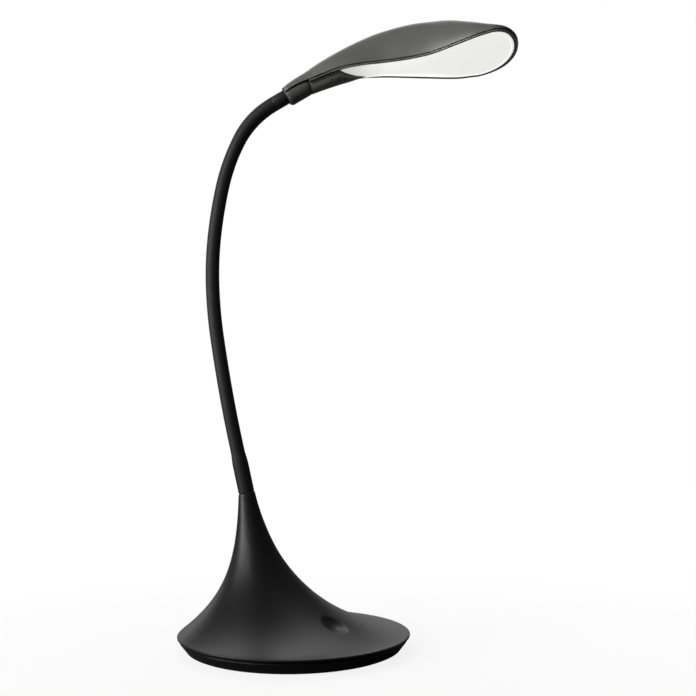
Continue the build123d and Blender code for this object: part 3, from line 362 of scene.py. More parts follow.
# ---- base ------------------------------------------------------------------------
@dataclass(frozen=True)
class Base:
    """The trumpet-shaped cover, the pan under it and the foot pad.

    Outlines give radius and height.
    """

    radius: float = 80.0
    rim: Line = ((78.3, 9.0), (79.5, 9.0), (79.78, 9.08), (79.95, 9.28), (80.0, 9.5), (80.0, 9.95),
                 (79.93, 10.15), (79.8, 10.3), (79.55, 10.39))
    rim_top: float = 10.4
    rim_soft: float = 0.3
    rim_fade: float = 0.8
    stem_height: float = 105.5
    stem_front: float = -34.2
    stem_rear: float = -40.2
    stem_round: float = 0.25
    reach: float = 147.5
    front: tuple[float, float] = (0.627, 2.12)
    rear: tuple[float, float] = (1.04, 5.65)
    tilt_start: float = 60.0
    lean: float = -13.0
    levels: int = 84
    first_level: int = 3
    level_spacing: float = 2.2
    sides: int = 192
    crease: float = 32.0

    hollow_foot: Line = ((78.3, 8.0), (78.3, 9.0))
    wall: float = 2.2
    side_wall: float = 1.8
    solid_stem: float = 30.0
    hollow_levels: int = 24
    hollow_spacing: float = 1.8
    hollow_sides: int = 96

    dimple: tuple[float, float] = (28.3, -31.0)
    dimple_sphere: float = 18.0
    dimple_depth: float = 2.4
    dimple_patch: float = 13.0
    dimple_reach: float = 15.5
    dimple_lip: tuple[float, float, float] = (2.5, 0.16, 0.015)
    skin: float = 1.2
    slope_step: float = 0.5

    floor: float = 2.8
    bosses: Line = ((50.0, 0.0), (0.0, 50.0), (0.0, -50.0), (-61.2, 18.7), (-61.2, -18.7))
    boss_radius: float = 3.6
    boss_foot: float = 3.3
    boss_chamfer: float = 0.3
    boss_outward: float = 4.0
    posts: Line = ((-16.0, -36.0), (-16.0, -10.0), (32.0, -36.0), (32.0, -10.0))
    post_radius: float = 2.4
    post_sink: float = 0.2
    post_tip: Line = ((2.4, 8.9), (2.2, 9.2))
    pan_outline: Line = ((72.9, 0.8), (73.3, 0.85), (73.6, 1.05), (78.0, 6.5), (78.22, 6.8), (78.3, 7.0),
                         (78.2, 7.2), (77.55, 8.15), (77.35, 8.35), (77.1, 8.4), (76.2, 8.4), (76.2, 8.9),
                         (74.6, 8.9), (76.2, 6.9))
    floor_radius: float = 73.1
    pan_crease: float = 30.0
    inlet_run: tuple[float, float] = (-83.0, -69.0)
    inlet_rise: float = 2.8
    inlet_radius: float = 2.5
    pad_radius: float = 71.5
    pad_thickness: float = 0.8
    pad_round: float = 0.25

    def flare(self, z: float) -> tuple[float, float]:
        """Return centre and radius of the cover's ring at height z."""
        t = max(0.0, (z - self.rim_top) / self.reach)
        ease_in, power = self.front
        ahead = self.stem_front + (self.radius - self.stem_front) * (1 - t ** ease_in) ** power
        ease_in, power = self.rear
        behind = self.stem_rear - (self.radius + self.stem_rear) * (1 - t ** ease_in) ** power
        return (ahead + behind) / 2, (ahead - behind) / 2

    def ring(self, z: float, drop: float = 0.0, thin: float = 0.0) -> Ring:
        """Return the cover's ring at height z, lowered and shrunk for the inside."""
        centre, radius = self.flare(z)
        tilt = self.lean * ease((z - self.tilt_start) / (self.stem_height - self.tilt_start))
        soft = self.rim_soft * math.exp((self.rim_top - z) / self.rim_fade)
        return Ring(centre, z - drop, radius - thin - soft, tilt)

    def height(self, x: float, y: float) -> float:
        """Return the height of the cover's outside above (x, y)."""
        low, high = self.rim_top, self.stem_height
        for _ in range(30):
            middle = (low + high) / 2
            centre, radius = self.flare(middle)
            if math.hypot(x - centre, y) < radius:
                low = middle
            else:
                high = middle
        return low

    def build(self) -> None:
        """Model the three pieces and fix them to the base."""
        cover = dress(self.cover(), "base_black")
        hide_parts("base_shell")
        pan = dress(self.pan(), "base_black", "pan_black")
        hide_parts("base_pan")
        pad = dress(self.pad(), "pad_rubber")
        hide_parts("foot_pad")
        for piece in (cover, pan, pad):
            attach(piece, "base")
            report(piece)

    def cover(self) -> bpy.types.Object:
        """Return the cover with its rim, its inside, its bosses and the dimple."""
        rise = self.stem_height - self.rim_top
        rings = [Ring(0.0, z, radius) for radius, z in self.rim]
        rings += [self.ring(self.rim_top + rise * (k / self.levels) ** self.level_spacing)
                  for k in range(self.first_level, self.levels)]
        top = self.ring(self.stem_height)
        rings += [Ring(top.x, top.z - self.stem_round, top.radius, top.lean),
                  Ring(top.x, top.z, top.radius - self.stem_round, top.lean)]
        piece = grow("base_cover", rings, self.sides)
        cut(piece, self.hollow())
        self.press_dimple(piece)
        join(piece, [self.boss(x, y) for x, y in self.bosses])
        bpy.ops.object.shade_smooth_by_angle(angle=math.radians(self.crease))
        return piece

    def hollow(self) -> bpy.types.Object:
        """Return the tool that hollows the cover."""
        rise = self.stem_height - self.solid_stem - self.rim_top
        rings = [Ring(0.0, z, radius) for radius, z in self.hollow_foot]
        rings += [self.ring(self.rim_top + rise * (k / self.hollow_levels) ** self.hollow_spacing,
                            self.wall, self.side_wall) for k in range(1, self.hollow_levels + 1)]
        return grow("hollow", rings, self.hollow_sides)

    def boss(self, x: float, y: float) -> bpy.types.Object:
        """Return a screw boss that ends in the cover's skin."""
        out = 1 + self.boss_outward / math.hypot(x, y)
        top = self.height(x * out, y * out) - self.skin
        rows = [(self.boss_foot, self.floor), (self.boss_radius, self.floor + self.boss_chamfer),
                (self.boss_radius, top)]
        return grow("boss", [Ring(x, z, radius, y=y) for radius, z in rows], 24)

    def press_dimple(self, piece: bpy.types.Object) -> None:
        """Subdivide the skin round the dimple and sink it onto the dimple's sphere."""
        x, y = self.dimple
        step = self.slope_step
        slopes = [(self.height(x - dx, y - dy) - self.height(x + dx, y + dy)) / (2 * step)
                  for dx, dy in ((step, 0.0), (0.0, step))]
        point = Vector((x, y, self.height(x, y)))
        centre = point + Vector((*slopes, 1.0)).normalized() * (self.dimple_sphere - self.dimple_depth)
        bpy.ops.object.mode_set(mode="EDIT")
        bpy.ops.mesh.select_all(action="DESELECT")
        bpy.ops.mesh.select_mode(type="FACE")
        bpy.ops.object.mode_set(mode="OBJECT")
        for face in piece.data.polygons:
            middle = face.center / MM
            face.select = ((middle - point).length < self.dimple_patch and face.normal.z > 0.3
                           and middle.z > self.height(middle.x, middle.y) - self.skin)
        bpy.ops.object.mode_set(mode="EDIT")
        bpy.ops.mesh.subdivide(number_cuts=4)
        bpy.ops.mesh.select_mode(type="VERT")
        bpy.ops.object.mode_set(mode="OBJECT")
        margin, softness, cutoff = self.dimple_lip
        for vertex in piece.data.vertices:
            place = vertex.co / MM
            if not vertex.select or (place - point).length > self.dimple_reach:
                continue
            place.z = self.height(place.x, place.y)
            off = place - centre
            depth = self.dimple_sphere - off.length
            if depth > -margin:
                sink = (depth + math.sqrt(depth * depth + softness)) / 2 - cutoff
                place = centre + off.normalized() * (off.length + max(0.0, sink))
            vertex.co = place * MM

    def pan(self) -> bpy.types.Object:
        """Return the pan: cone, belt, upstand, floor, posts and the inlet's hole."""
        outline = [*self.pan_outline, (self.floor_radius, self.floor)]
        piece = grow("pan_ring", [Ring(0.0, z, radius) for radius, z in outline], self.sides, self.pan_crease)
        height = self.floor + self.inlet_rise
        cut(piece, grow("hole", [Ring(x, height, self.inlet_radius, 90.0) for x in self.inlet_run], 32))
        join(piece, [self.post(x, y) for x, y in self.posts])
        bpy.ops.object.shade_smooth_by_angle(angle=math.radians(self.pan_crease))
        return piece

    def post(self, x: float, y: float) -> bpy.types.Object:
        """Return a post that carries a corner of the board."""
        rows = [(self.post_radius, self.floor - self.post_sink), *self.post_tip]
        return grow("post", [Ring(x, z, radius, y=y) for radius, z in rows], 20)

    def pad(self) -> bpy.types.Object:
        """Return the soft disc with rounded edges."""
        bpy.ops.object.select_all(action="DESELECT")
        bpy.ops.mesh.primitive_cylinder_add(vertices=160, radius=self.pad_radius * MM,
                                            depth=self.pad_thickness * MM)
        piece = bpy.context.object
        piece.name = "pad_disc"
        bpy.ops.object.mode_set(mode="EDIT")
        bpy.ops.mesh.select_all(action="SELECT")
        bpy.ops.transform.translate(value=(0.0, 0.0, self.pad_thickness / 2 * MM))
        bpy.ops.object.mode_set(mode="OBJECT")
        bevel_edges(piece, self.pad_round, 40.0, 3)
        return piece


# ---- neck ------------------------------------------------------------------------
@dataclass(frozen=True)
class Neck:
    """The rubber sleeve over the links, in pieces cut halfway along each link.

    The swell is where the sleeve starts and stops widening towards the head, and its radius there.
    """

    foot: tuple[float, float] = (-34.483, 105.5)
    lean: float = -13.0
    link: float = 37.5
    turns: tuple[float, ...] = (0.0, 2.2, 1.7, 6.1, 8.0, 6.2, 14.3, 32.9)
    radius: float = 4.95
    bore: float = 3.9
    grip_bore: float = 4.75
    flare_radius: float = 5.6
    flare_end: float = 20.0
    taper: float = 10.0
    swell: tuple[float, float, float] = (248.0, 288.0, 5.4)
    soft: float = 11.0
    seat: float = 0.1
    pitch: float = 1.6
    foot_round: float = 0.35
    sides: int = 56

    def place(self, distance: float) -> tuple[float, float, float]:
        """Return x, z and lean of the neck's centre line at a distance from its foot."""
        x, z = self.foot
        lean = self.lean
        for turned in self.turns:
            run = min(distance, self.link)
            bend = turned * run / self.link
            share = math.radians(bend / 2)
            chord = run * (math.sin(share) / share if bend else 1.0)
            x += chord * math.sin(math.radians(lean + bend / 2))
            z += chord * math.cos(math.radians(lean + bend / 2))
            lean += bend
            distance -= run
            if distance <= 0:
                break
        return x, z, lean

    def ring(self, distance: float, radius: float) -> Ring:
        """Return a ring square to the centre line."""
        x, z, lean = self.place(distance)
        return Ring(x, z, radius, lean)

    def outer(self, distance: float) -> float:
        """Return the sleeve's radius at a distance: wider at the foot and at the head."""
        share = ease((distance - self.flare_end) / self.taper)
        start, end, wide = self.swell
        return (self.flare_radius + (self.radius - self.flare_radius) * share
                + (wide - self.radius) * ease((distance - start) / (end - start)))

    def build(self) -> None:
        """Model the pieces and fix the first to the base and the last to the head."""
        links = len(self.turns)
        bodies = ["base", *(f"link_{k}" for k in range(2, links)), "head"]
        edges = [self.seat, *((k + 0.5) * self.link for k in range(links)), links * self.link]
        for k in range(links + 1):
            piece = dress(self.sleeve(k, edges[k], edges[k + 1]), "sleeve_rubber")
            if k in (0, links):
                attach(piece, bodies[0 if k == 0 else -1])
            else:
                pivot = k * self.link
                start, end = (self.ring(pivot + side * self.soft, 1.0).centre() for side in (-1, 1))
                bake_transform(piece)
            if k < links:
                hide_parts(f"neck_sleeve_{k + 1}")
            report(piece)

    def sleeve(self, index: int, start: float, end: float) -> bpy.types.Object:
        """Return the piece of sleeve between two distances, with its bore."""
        steps = max(6, round((end - start) / self.pitch))
        stops = [start + (end - start) * k / steps for k in range(steps + 1)]
        outside = [self.ring(s, self.outer(s)) for s in stops]
        if index == 0:
            outside = [self.ring(start, self.flare_radius - self.foot_round),
                       self.ring(start + self.foot_round, self.flare_radius), *outside[1:]]
        inside = [self.ring(s, self.grip_bore if s < self.flare_end else self.bore)
                  for s in reversed(stops)]
        return grow(f"sleeve_{index}", [*outside, *inside, outside[0]], self.sides)


# ---- head ------------------------------------------------------------------------
@dataclass(frozen=True)
class Head:
    """Shell, trim, diffuser, socket and collar, drawn from the centre of the mouth.

    Lines along the head give distance from the mouth, then height or half width. Rows of the border
    give distance in from the edge, then height. Rows of the socket and the ferrule give distance
    along the neck's axis, then radius, and those of the socket's mouth radius and share of the drop.
    """

    mouth: tuple[float, float]
    lean: float = 31.6
    fade: float = 79.0
    length: float = 172.5
    widest: float = 148.4
    half: float = 38.4
    band: float = 0.8
    wall: float = 1.2
    edge: Line = ((-2.0, -0.6), (3.0, 3.4), (8.0, 6.6), (18.8, 10.9), (29.2, 14.8), (40.9, 18.4),
                  (54.9, 21.1), (68.9, 22.3), (93.9, 24.0), (106.9, 25.4), (118.9, 27.6), (131.5, 30.2),
                  (143.7, 33.1), (156.9, 35.4), (172.5, 36.2))
    width: Line = ((-2.0, 7.4), (19.0, 8.8), (41.0, 11.9), (59.0, 12.9), (73.0, 14.1), (90.0, 17.2),
                   (107.0, 22.2), (123.5, 30.0), (136.0, 35.4), (148.4, 38.4))
    crown: Line = ((-2.0, 5.5), (12.0, 7.2), (26.0, 11.3), (41.0, 15.6), (55.0, 20.6), (69.0, 26.2),
                   (86.0, 30.7), (105.0, 31.6), (123.0, 27.6), (138.0, 19.2), (150.0, 10.6), (160.0, 7.0),
                   (167.0, 4.8), (172.5, 2.4))
    pitch: float = 3.2
    shell_sides: int = 96
    least_rise: float = 0.35
    shell_round: float = 0.22
    mouth_foot: tuple[float, float] = (0.3, 1.89)

    trim_start: float = 17.0
    trim_width: float = 2.6
    trim_drop: float = 1.5
    trim_inset: float = 0.1
    flange: float = 1.2
    upstand_top: float = 1.3
    upstand_wall: float = 0.85
    groove: tuple[float, float] = (0.75, 0.55)
    # Columns of the trim's faces in black: painted shade along its inner edge by the diffuser.
    seam_shade_columns: range = range(3, 11)

    seam: float = 0.45
    border: tuple[float, ...] = (0.0, 0.12, 0.35, 0.9, 1.5, 1.75, 1.9)
    border_profile: Line = ((0.0, 0.0), (0.12, -0.16), (0.35, -0.25), (1.5, -0.25), (1.75, -0.18),
                            (1.9, 0.12), (99.0, 0.13))
    border_lift: float = 0.35
    shares: tuple[float, ...] = (0.94, 0.86, 0.76, 0.64, 0.5, 0.34, 0.17, 0.001)
    rear_rows: tuple[float, ...] = (0.0, 0.15, 0.44, 1.1, 1.88, 2.18, 2.4, 3.4, 5.0, 7.0, 9.5, 12.5, 15.5)
    rear_end: float = 72.0
    rear_slant: float = 0.8
    belly: float = 3.0
    rear_belly: float = 5.4
    belly_fade: float = 14.0
    belly_width: float = 15.6
    tongue: Line = ((38.6, 10.2), (41.2, 7.6), (45.6, 5.0), (53.6, 1.6))
    tongue_tip: float = 59.5
    tongue_gap: float = 0.3
    panel_wall: float = 1.0

    socket_radius: float = 6.8
    socket_length: float = 21.0
    socket_dome: float = 5.0
    socket_drop: float = 1.2
    socket_round: tuple[float, float] = (3.0, 1.6)
    socket_mouth: Line = ((5.0, 0.1), (5.2, 0.3))
    socket_stations: tuple[float, ...] = (5.0, 8.0, 12.0)
    socket_bore: Line = ((20.8, 3.1), (3.0, 3.1), (3.0, 4.85), (0.3, 4.85))
    collar_radius: float = 5.4
    collar_length: float = 11.4
    collar_middle: float = -6.0
    hose_bore: float = 3.9
    ferrule: Line = ((-0.3, 4.75), (2.9, 4.75), (2.9, 3.0), (25.7, 3.0), (26.0, 2.8), (26.0, 1.6),
                     (-2.4, 1.6), (-2.4, 3.9))

    def build(self) -> None:
        """Model the pieces and fix them to the head."""
        shell = dress(self.shell(), "shell_grey")
        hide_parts("head_shell")
        socket = dress(self.neck_socket(), "collar_black")
        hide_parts("neck_socket")
        collar = dress(self.collar(), "collar_black", "sleeve_rubber")
        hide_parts("upper_ferrule")
        trim = self.trim()
        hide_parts("head_trim")
        panel = dress(self.panel(), "diffuser_white")
        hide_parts("diffuser")
        for piece in (shell, socket, collar, trim, panel):
            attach(piece, "head")
            report(piece)

    def tilt(self, x: float) -> float:
        """Return how far the section at x leans back, in degrees."""
        return self.lean * max(0.0, 1 - x / self.fade)

    def spot(self, x: float, y: float, lift: float) -> Vector:
        """Return a place at height lift over the edge line, in metres."""
        lean = math.radians(self.tilt(x))
        return Vector((self.mouth[0] + x - math.sin(lean) * lift, y,
                       self.mouth[1] + smooth(self.edge, x) + math.cos(lean) * lift)) * MM

    def stations(self, start: float, inset: float) -> Line:
        """Return x and half width of the sections from start to the rounded tip."""
        steps = round((self.widest - start) / self.pitch)
        stops = [start + (self.widest - start) * k / steps for k in range(steps + 1)]
        rows = [(x, smooth(self.width, x) - inset) for x in stops]
        nose = self.length - inset - self.widest
        for swing in map(math.radians, TIP_ANGLES):
            rows.append((self.widest + nose * math.sin(swing), (self.half - inset) * math.cos(swing)))
        return tuple(rows)

    def shell(self) -> bpy.types.Object:
        """Return the arched shell, grown section by section from half a ring."""
        rows = [(x, half, max(self.least_rise, smooth(self.crown, x) - self.band))
                for x, half in self.stations(0.0, 0.0)]
        bpy.ops.object.select_all(action="DESELECT")
        bpy.ops.mesh.primitive_circle_add(vertices=self.shell_sides, radius=1.0)
        piece = bpy.context.object
        piece.name = "shell"
        bpy.ops.object.mode_set(mode="EDIT")
        bpy.ops.mesh.select_all(action="SELECT")
        turn(-90.0, Vector())
        bpy.ops.mesh.bisect(plane_co=(0.0, 0.0, 0.0), plane_no=(0.0, 0.0, 1.0), clear_inner=True)
        bpy.ops.mesh.select_all(action="SELECT")
        x, half, rise = rows[0]
        bpy.ops.transform.resize(value=(1.0, half * MM, rise * MM), center_override=(0.0, 0.0, 0.0))
        base = self.spot(x, 0.0, self.band)
        bpy.ops.transform.translate(value=base)
        turn(-self.tilt(x), base)
        back = x
        for x, wide, high in rows[1:]:
            bpy.ops.mesh.extrude_region()
            turn(self.tilt(back), base)
            bpy.ops.transform.resize(value=(1.0, wide / half, high / rise), center_override=base)
            fresh = self.spot(x, 0.0, self.band)
            bpy.ops.transform.translate(value=fresh - base)
            turn(-self.tilt(x), fresh)
            back, base, half, rise = x, fresh, wide, high
        bpy.ops.mesh.edge_face_add()
        bpy.ops.mesh.select_all(action="DESELECT")
        bpy.ops.object.mode_set(mode="OBJECT")
        self.lower_band(piece)
        apply_modifier(piece, "SOLIDIFY", thickness=self.wall * MM, offset=-1.0, use_even_offset=True,
                       use_rim=True, use_quality_normals=True)
        bevel_edges(piece, self.shell_round, 55.0)
        return piece

    def lower_band(self, piece: bpy.types.Object) -> None:
        """Pull the shell's open edge down into an upright band, but not at the foot of the mouth."""
        uses = Counter(key for face in piece.data.polygons for key in face.edge_keys)
        ahead, behind = self.mouth_foot
        mouth = self.spot(0.0, 0.0, self.band).x + ahead * MM
        for edge in piece.data.edges:
            first, second = (piece.data.vertices[i].co for i in sorted(edge.vertices))
            foot = max(first.x, second.x) < mouth and first.x > mouth - behind * MM
            edge.select = uses[edge.key] == 1 and not foot
        bpy.ops.object.mode_set(mode="EDIT")
        bpy.ops.mesh.select_mode(type="EDGE")
        bpy.ops.mesh.extrude_region()
        bpy.ops.transform.translate(value=(0.0, 0.0, -self.band * MM))
        bpy.ops.mesh.select_mode(type="VERT")
        bpy.ops.mesh.select_all(action="SELECT")
        bpy.ops.mesh.remove_doubles(threshold=MERGE)
        bpy.ops.mesh.normals_make_consistent(inside=False)
        bpy.ops.object.mode_set(mode="OBJECT")

    def axis(self, distance: float, radius: float, drop: float = 0.0) -> Ring:
        """Return a ring round the neck's last axis, this far inside the mouth."""
        lean = math.radians(self.lean)
        x = self.mouth[0] + math.cos(lean) * distance + math.sin(lean) * drop
        z = self.mouth[1] + math.sin(lean) * distance - math.cos(lean) * drop
        return Ring(x, z, radius, 90.0 - self.lean)

    def neck_socket(self) -> bpy.types.Object:
        """Return the rounded boss that the neck enters."""
        radius, drop, dome = self.socket_radius, self.socket_drop, self.socket_dome
        along, across = self.socket_round
        least = self.socket_mouth[-1][1]
        rings = [self.axis(0.0, wide, drop * share) for wide, share in self.socket_mouth]
        for swing in map(math.radians, (15, 30, 45, 60, 75, 90)):
            rings.append(self.axis(along * (1 - math.cos(swing)), radius - across + across * math.sin(swing),
                                   drop * (least + (1 - least) * math.sin(swing))))
        shoulder = self.socket_length - dome
        rings += [self.axis(s, radius, drop) for s in (*self.socket_stations, shoulder)]
        for swing in map(math.radians, (10, 20, 30, 40, 50, 60, 68)):
            rings.append(self.axis(shoulder + dome * math.sin(swing), radius - dome + dome * math.cos(swing),
                                   drop * math.cos(swing)))
        rings += [self.axis(s, wide) for s, wide in self.socket_bore]
        return grow("socket_boss", [*rings, rings[0]], 72)

    def collar(self) -> bpy.types.Object:
        """Return the ferrule between the sleeve's end and the socket."""
        start = 0.1 - self.collar_length
        out = self.collar_radius
        rows = [(start, out - 0.3), (start + 0.1, out - 0.1), (start + 0.3, out), (self.collar_middle, out),
                (-0.7, out), (-0.4, out - 0.1), *self.ferrule]
        ends = [(start, self.hose_bore)]
        return grow("neck_collar", [self.axis(s, radius) for s, radius in [*ends, *rows, *ends]], 56)

    @staticmethod
    def lay_grid(name: str, columns: int, rows: int, place: Callable[[int, int, int], Vector],
                 shade_columns: range = range(0)) -> bpy.types.Object:
        """Lay a grid along the head's outline, down one side, round the tip and back.

        Args:
            name: Name of the new piece.
            columns: Columns across the outline.
            rows: Rows on each side.
            place: Where a vertex goes, from its column, row and side.
            shade_columns: Columns of faces that take the second finish, a painted shade.

        Returns:
            The piece, in edit mode with everything selected.
        """
        bpy.ops.object.select_all(action="DESELECT")
        bpy.ops.mesh.primitive_grid_add(x_subdivisions=2 * rows - 1, y_subdivisions=columns - 1, size=1.0)
        piece = bpy.context.object
        piece.name = name
        for j in range(columns):
            for i in range(rows):
                piece.data.vertices[j * 2 * rows + i].co = place(j, i, -1)
                piece.data.vertices[(j + 1) * 2 * rows - 1 - i].co = place(j, i, 1)
        for face in piece.data.polygons:
            face.material_index = int(face.index // (2 * rows - 1) in shade_columns)
        bpy.ops.object.mode_set(mode="EDIT")
        bpy.ops.mesh.select_all(action="SELECT")
        return piece

    def trim(self) -> bpy.types.Object:
        """Return the ring round the diffuser: a flange with rounded edges and its upstand, its inner edge in
        painted shade.
        """
        low, high = -self.trim_drop, -self.trim_drop + self.flange
        start, end = self.trim_inset, self.trim_width
        back = end - self.upstand_wall
        groove, depth = self.groove
        bed = high - depth
        profile = [(start, low + 0.25), (start + 0.07, low + 0.07), (start + 0.25, low), (end - 0.8, low),
                   (end - 0.25, low), (end - 0.07, low + 0.07), (end, low + 0.25), (end, self.upstand_top),
                   (back, self.upstand_top), (back, high), (groove, high), (groove, bed),
                   (start + 0.25, bed), (start + 0.07, bed - 0.07), (start, bed - 0.25), (start, low + 0.25)]
        lines = [self.stations(self.trim_start, inset) for inset, _ in profile]

        def place(j: int, i: int, side: int) -> Vector:
            """Return where a vertex of the ring goes."""
            x, half = lines[j][i]
            return self.spot(x, side * half, profile[j][1])

        piece = self.lay_grid("trim_ring", len(profile), len(lines[0]), place, self.seam_shade_columns)
        close()
        piece.data.materials.append(FINISHES["trim_grey"].material())
        # The second finish, black, is painted shade on the trim's inner edge.
        piece.data.materials.append(FINISHES["pan_black"].material())
        return piece

    def panel(self) -> bpy.types.Object:
        """Return the opal panel: a raised border, a step and the bellied middle."""
        edge = self.trim_width + self.seam
        insets = [edge + d for d in self.border]
        start = self.tongue[0][0] + self.tongue_gap
        points = [start + d for d in self.rear_rows]
        last = points[-1]
        count = round((self.widest - last) / self.pitch)
        points += [last + (self.widest - last) * k / count for k in range(1, count + 1)]
        swings = [math.radians(angle) for angle in TIP_ANGLES]

        def place(j: int, i: int, side: int) -> Vector:
            """Return where a vertex of the panel goes."""
            inset = insets[min(j, len(insets) - 1)]
            share = self.shares[j - len(insets)] if j >= len(insets) else 1.0
            within = inset - edge if share == 1.0 else math.inf
            if i < len(points):
                x = self.bend_round_tongue(points[i], start, inset, share)
                y = (smooth(self.width, x) - inset) * share
                out = y / (smooth(self.width, x) - edge)
                behind = (x - self.tongue_at(y)) * self.rear_slant
            else:
                swing = swings[i - len(points)]
                nose = (self.length - inset - self.widest) * share * math.sin(swing)
                x, y = self.widest + nose, (self.half - inset) * share * math.cos(swing)
                out = math.hypot(y / (self.half - edge), nose / (self.length - edge - self.widest))
                behind = math.inf
            return self.spot(x, side * y, self.panel_height(x, out, min(within, max(0.0, behind))))

        piece = self.lay_grid("panel", len(insets) + len(self.shares), len(points) + len(swings), place)
        bpy.ops.mesh.remove_doubles(threshold=0.07 * MM)
        bpy.ops.mesh.normals_make_consistent(inside=False)
        bpy.ops.object.mode_set(mode="OBJECT")
        if sum(face.normal.z * face.area for face in piece.data.polygons) > 0:
            bpy.ops.object.mode_set(mode="EDIT")
            bpy.ops.mesh.select_all(action="SELECT")
            bpy.ops.mesh.flip_normals()
            bpy.ops.object.mode_set(mode="OBJECT")
        apply_modifier(piece, "SOLIDIFY", thickness=self.panel_wall * MM, offset=-1.0, use_rim=True)
        bpy.ops.object.shade_smooth_by_angle(angle=math.radians(40.0))
        return piece

    def tongue_at(self, y: float) -> float:
        """Return x of the panel's rear edge, which follows the tongue, at a half width."""
        points = ((self.tongue_tip, 0.0), *reversed(self.tongue))
        return smooth(tuple((wide, x + self.tongue_gap) for x, wide in points), y)

    def bend_round_tongue(self, x: float, start: float, inset: float, share: float) -> float:
        """Return x of a cross row moved so that the rows start along the tongue and straighten."""
        if x >= self.rear_end:
            return x
        rear = self.tongue_at((smooth(self.width, x) - inset) * share)
        return rear + (x - start) * (self.rear_end - rear) / (self.rear_end - start)

    def panel_height(self, x: float, out: float, near: float) -> float:
        """Return the panel's height over the edge line.

        Args:
            x: Place along the head.
            out: Share of the way out to the edge.
            near: Distance in from the edge.
        """
        fade = 1 - ease((x - self.tongue_tip) / self.belly_fade)
        depth = self.belly + (self.rear_belly - self.belly) * fade
        sag = depth * min(1.0, smooth(self.width, x) / self.belly_width) * (1 - min(1.0, out) ** 2)
        step = self.border_profile
        near = min(near, step[-1][0])
        k = max(n for n in range(len(step) - 1) if step[n][0] <= near)
        (d0, l0), (d1, l1) = step[k], step[k + 1]
        lift = l0 + (l1 - l0) * (near - d0) / (d1 - d0)
        return -self.trim_drop + self.border_lift + lift - sag


# ---- stage -----------------------------------------------------------------------
@dataclass(frozen=True)
class Lamp:
    """An oblong soft lamp, with a grid where the spread is under 180 degrees."""

    name: str
    at: Point
    towards: Point
    size: tuple[float, float]
    watts: float
    spread: float = 180.0

    def build(self) -> None:
        """Put the lamp up and aim it."""
        bpy.ops.object.light_add(type="AREA", location=self.at)
        lamp = bpy.context.object
        lamp.name = self.name
        lamp.data.shape = "RECTANGLE"
        lamp.data.size, lamp.data.size_y = self.size
        lamp.data.energy = self.watts
        lamp.data.spread = math.radians(self.spread)
        run = [b - a for a, b in zip(self.at, self.towards)]
        flat = math.hypot(run[0], run[1])
        lamp.rotation_euler = (math.atan2(flat, -run[2]), 0.0, math.atan2(run[1], run[0]) - math.pi / 2)


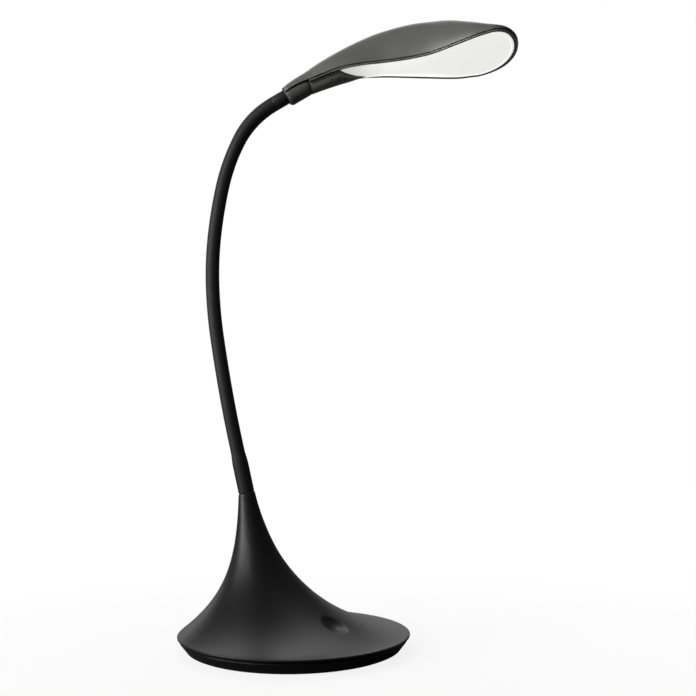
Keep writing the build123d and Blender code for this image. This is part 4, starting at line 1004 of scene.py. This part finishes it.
@dataclass(frozen=True)
class Studio:
    """Floor, lamps, world and camera, in metres."""

    camera_at: Point = (0.03716, -0.6129, 0.1398)
    climb: float = 6.39
    lens: float = 44.3
    sensor: float = 36.0
    clip: tuple[float, float] = (0.01, 200.0)
    ambient: float = 0.06
    floor_size: float = 160.0
    floor_tone: float = 0.22
    floor_glow: tuple[float, float] = (0.86, 1.0)
    floor_fade: tuple[float, float] = (0.1, 1.2)
    lamps: tuple[Lamp, ...] = (
        Lamp("top", (-0.2, 0.95, 1.35), (0.02, 0.0, 0.2), (1.4, 0.9), 8.0),
        Lamp("back", (-0.5, 1.8, 0.5), (0.0, 0.0, 0.1), (2.0, 0.5), 4.0),
        Lamp("side", (-1.2, -0.5, 0.3), (-0.03, 0.0, 0.15), (0.6, 0.6), 9.0),
        Lamp("fill", (-1.0, -1.1, 0.95), (0.08, 0.0, 0.6), (0.3, 0.25), 1.3, 46.0),
    )

    def build(self) -> None:
        """Put up the whole stage."""
        bpy.ops.object.camera_add(location=self.camera_at,
                                  rotation=(math.radians(90 + self.climb), 0.0, 0.0))
        camera = bpy.context.object
        camera.data.lens = self.lens
        camera.data.sensor_width = self.sensor
        camera.data.clip_start, camera.data.clip_end = self.clip
        bpy.context.scene.camera = camera
        bpy.ops.mesh.primitive_plane_add(size=self.floor_size)
        floor = bpy.context.object
        floor.name = "floor"
        floor.data.materials.append(self.floor_material())
        for lamp in self.lamps:
            lamp.build()
        self.world()
        bpy.context.scene.view_settings.view_transform = "Standard"

    def world(self) -> None:
        """Make the world white for the camera and dim for the light."""
        world = bpy.data.worlds.new("studio")
        bpy.context.scene.world = world
        world.use_nodes = True
        tree = world.node_tree
        back = tree.nodes["Background"]
        path = tree.nodes.new("ShaderNodeLightPath")
        most = tree.nodes.new("ShaderNodeMath")
        most.operation = "MAXIMUM"
        tree.links.new(path.outputs["Is Camera Ray"], most.inputs[0])
        tree.links.new(path.outputs["Is Transmission Ray"], most.inputs[1])
        span = tree.nodes.new("ShaderNodeMapRange")
        span.inputs["To Min"].default_value = self.ambient
        span.inputs["To Max"].default_value = 1.0
        tree.links.new(most.outputs[0], span.inputs["Value"])
        tree.links.new(span.outputs["Result"], back.inputs["Strength"])
        back.inputs["Color"].default_value = (1.0, 1.0, 1.0, 1.0)

    def floor_material(self) -> bpy.types.Material:
        """Return the pale floor, which keeps the shadow and whitens away from the lamp."""
        made = bpy.data.materials.new("floor_white")
        made.use_nodes = True
        tree = made.node_tree
        shader = tree.nodes["Principled BSDF"]
        tone = self.floor_tone
        shader.inputs["Base Color"].default_value = (tone, tone, tone, 1.0)
        shader.inputs["Roughness"].default_value = 0.9
        shader.inputs["Specular IOR Level"].default_value = 0.0
        shader.inputs["Emission Color"].default_value = (1.0, 1.0, 1.0, 1.0)
        coords = tree.nodes.new("ShaderNodeTexCoord")
        length = tree.nodes.new("ShaderNodeVectorMath")
        length.operation = "LENGTH"
        tree.links.new(coords.outputs["Object"], length.inputs[0])
        far = tree.nodes.new("ShaderNodeMapRange")
        values = (*self.floor_fade, *self.floor_glow)
        for socket, value in zip(("From Min", "From Max", "To Min", "To Max"), values):
            far.inputs[socket].default_value = value
        tree.links.new(length.outputs["Value"], far.inputs["Value"])
        path = tree.nodes.new("ShaderNodeLightPath")
        seen = tree.nodes.new("ShaderNodeMath")
        seen.operation = "MULTIPLY"
        tree.links.new(path.outputs["Is Camera Ray"], seen.inputs[0])
        tree.links.new(far.outputs["Result"], seen.inputs[1])
        tree.links.new(seen.outputs[0], shader.inputs["Emission Strength"])
        return made


def main() -> None:
    """Build the pieces, the stage and the camera."""
    logging.basicConfig(level=logging.INFO, format="%(name)s: %(message)s")
    slots = {row["node"]: row["material_slot"] for row in frame["record"]["subparts"]}
    for name, node in frame["nodes"].items():
        node.data.materials.clear()
        node.data.materials.append(FINISHES[slots[name]].material())
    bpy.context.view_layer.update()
    neck = Neck()
    Base().build()
    neck.build()
    x, z, lean = neck.place(len(neck.turns) * neck.link)
    reach = Head.collar_length
    mouth = (x + reach * math.sin(math.radians(lean)), z + reach * math.cos(math.radians(lean)))
    Head(mouth).build()
    Studio().build()


if __name__ == "__main__":
    main()
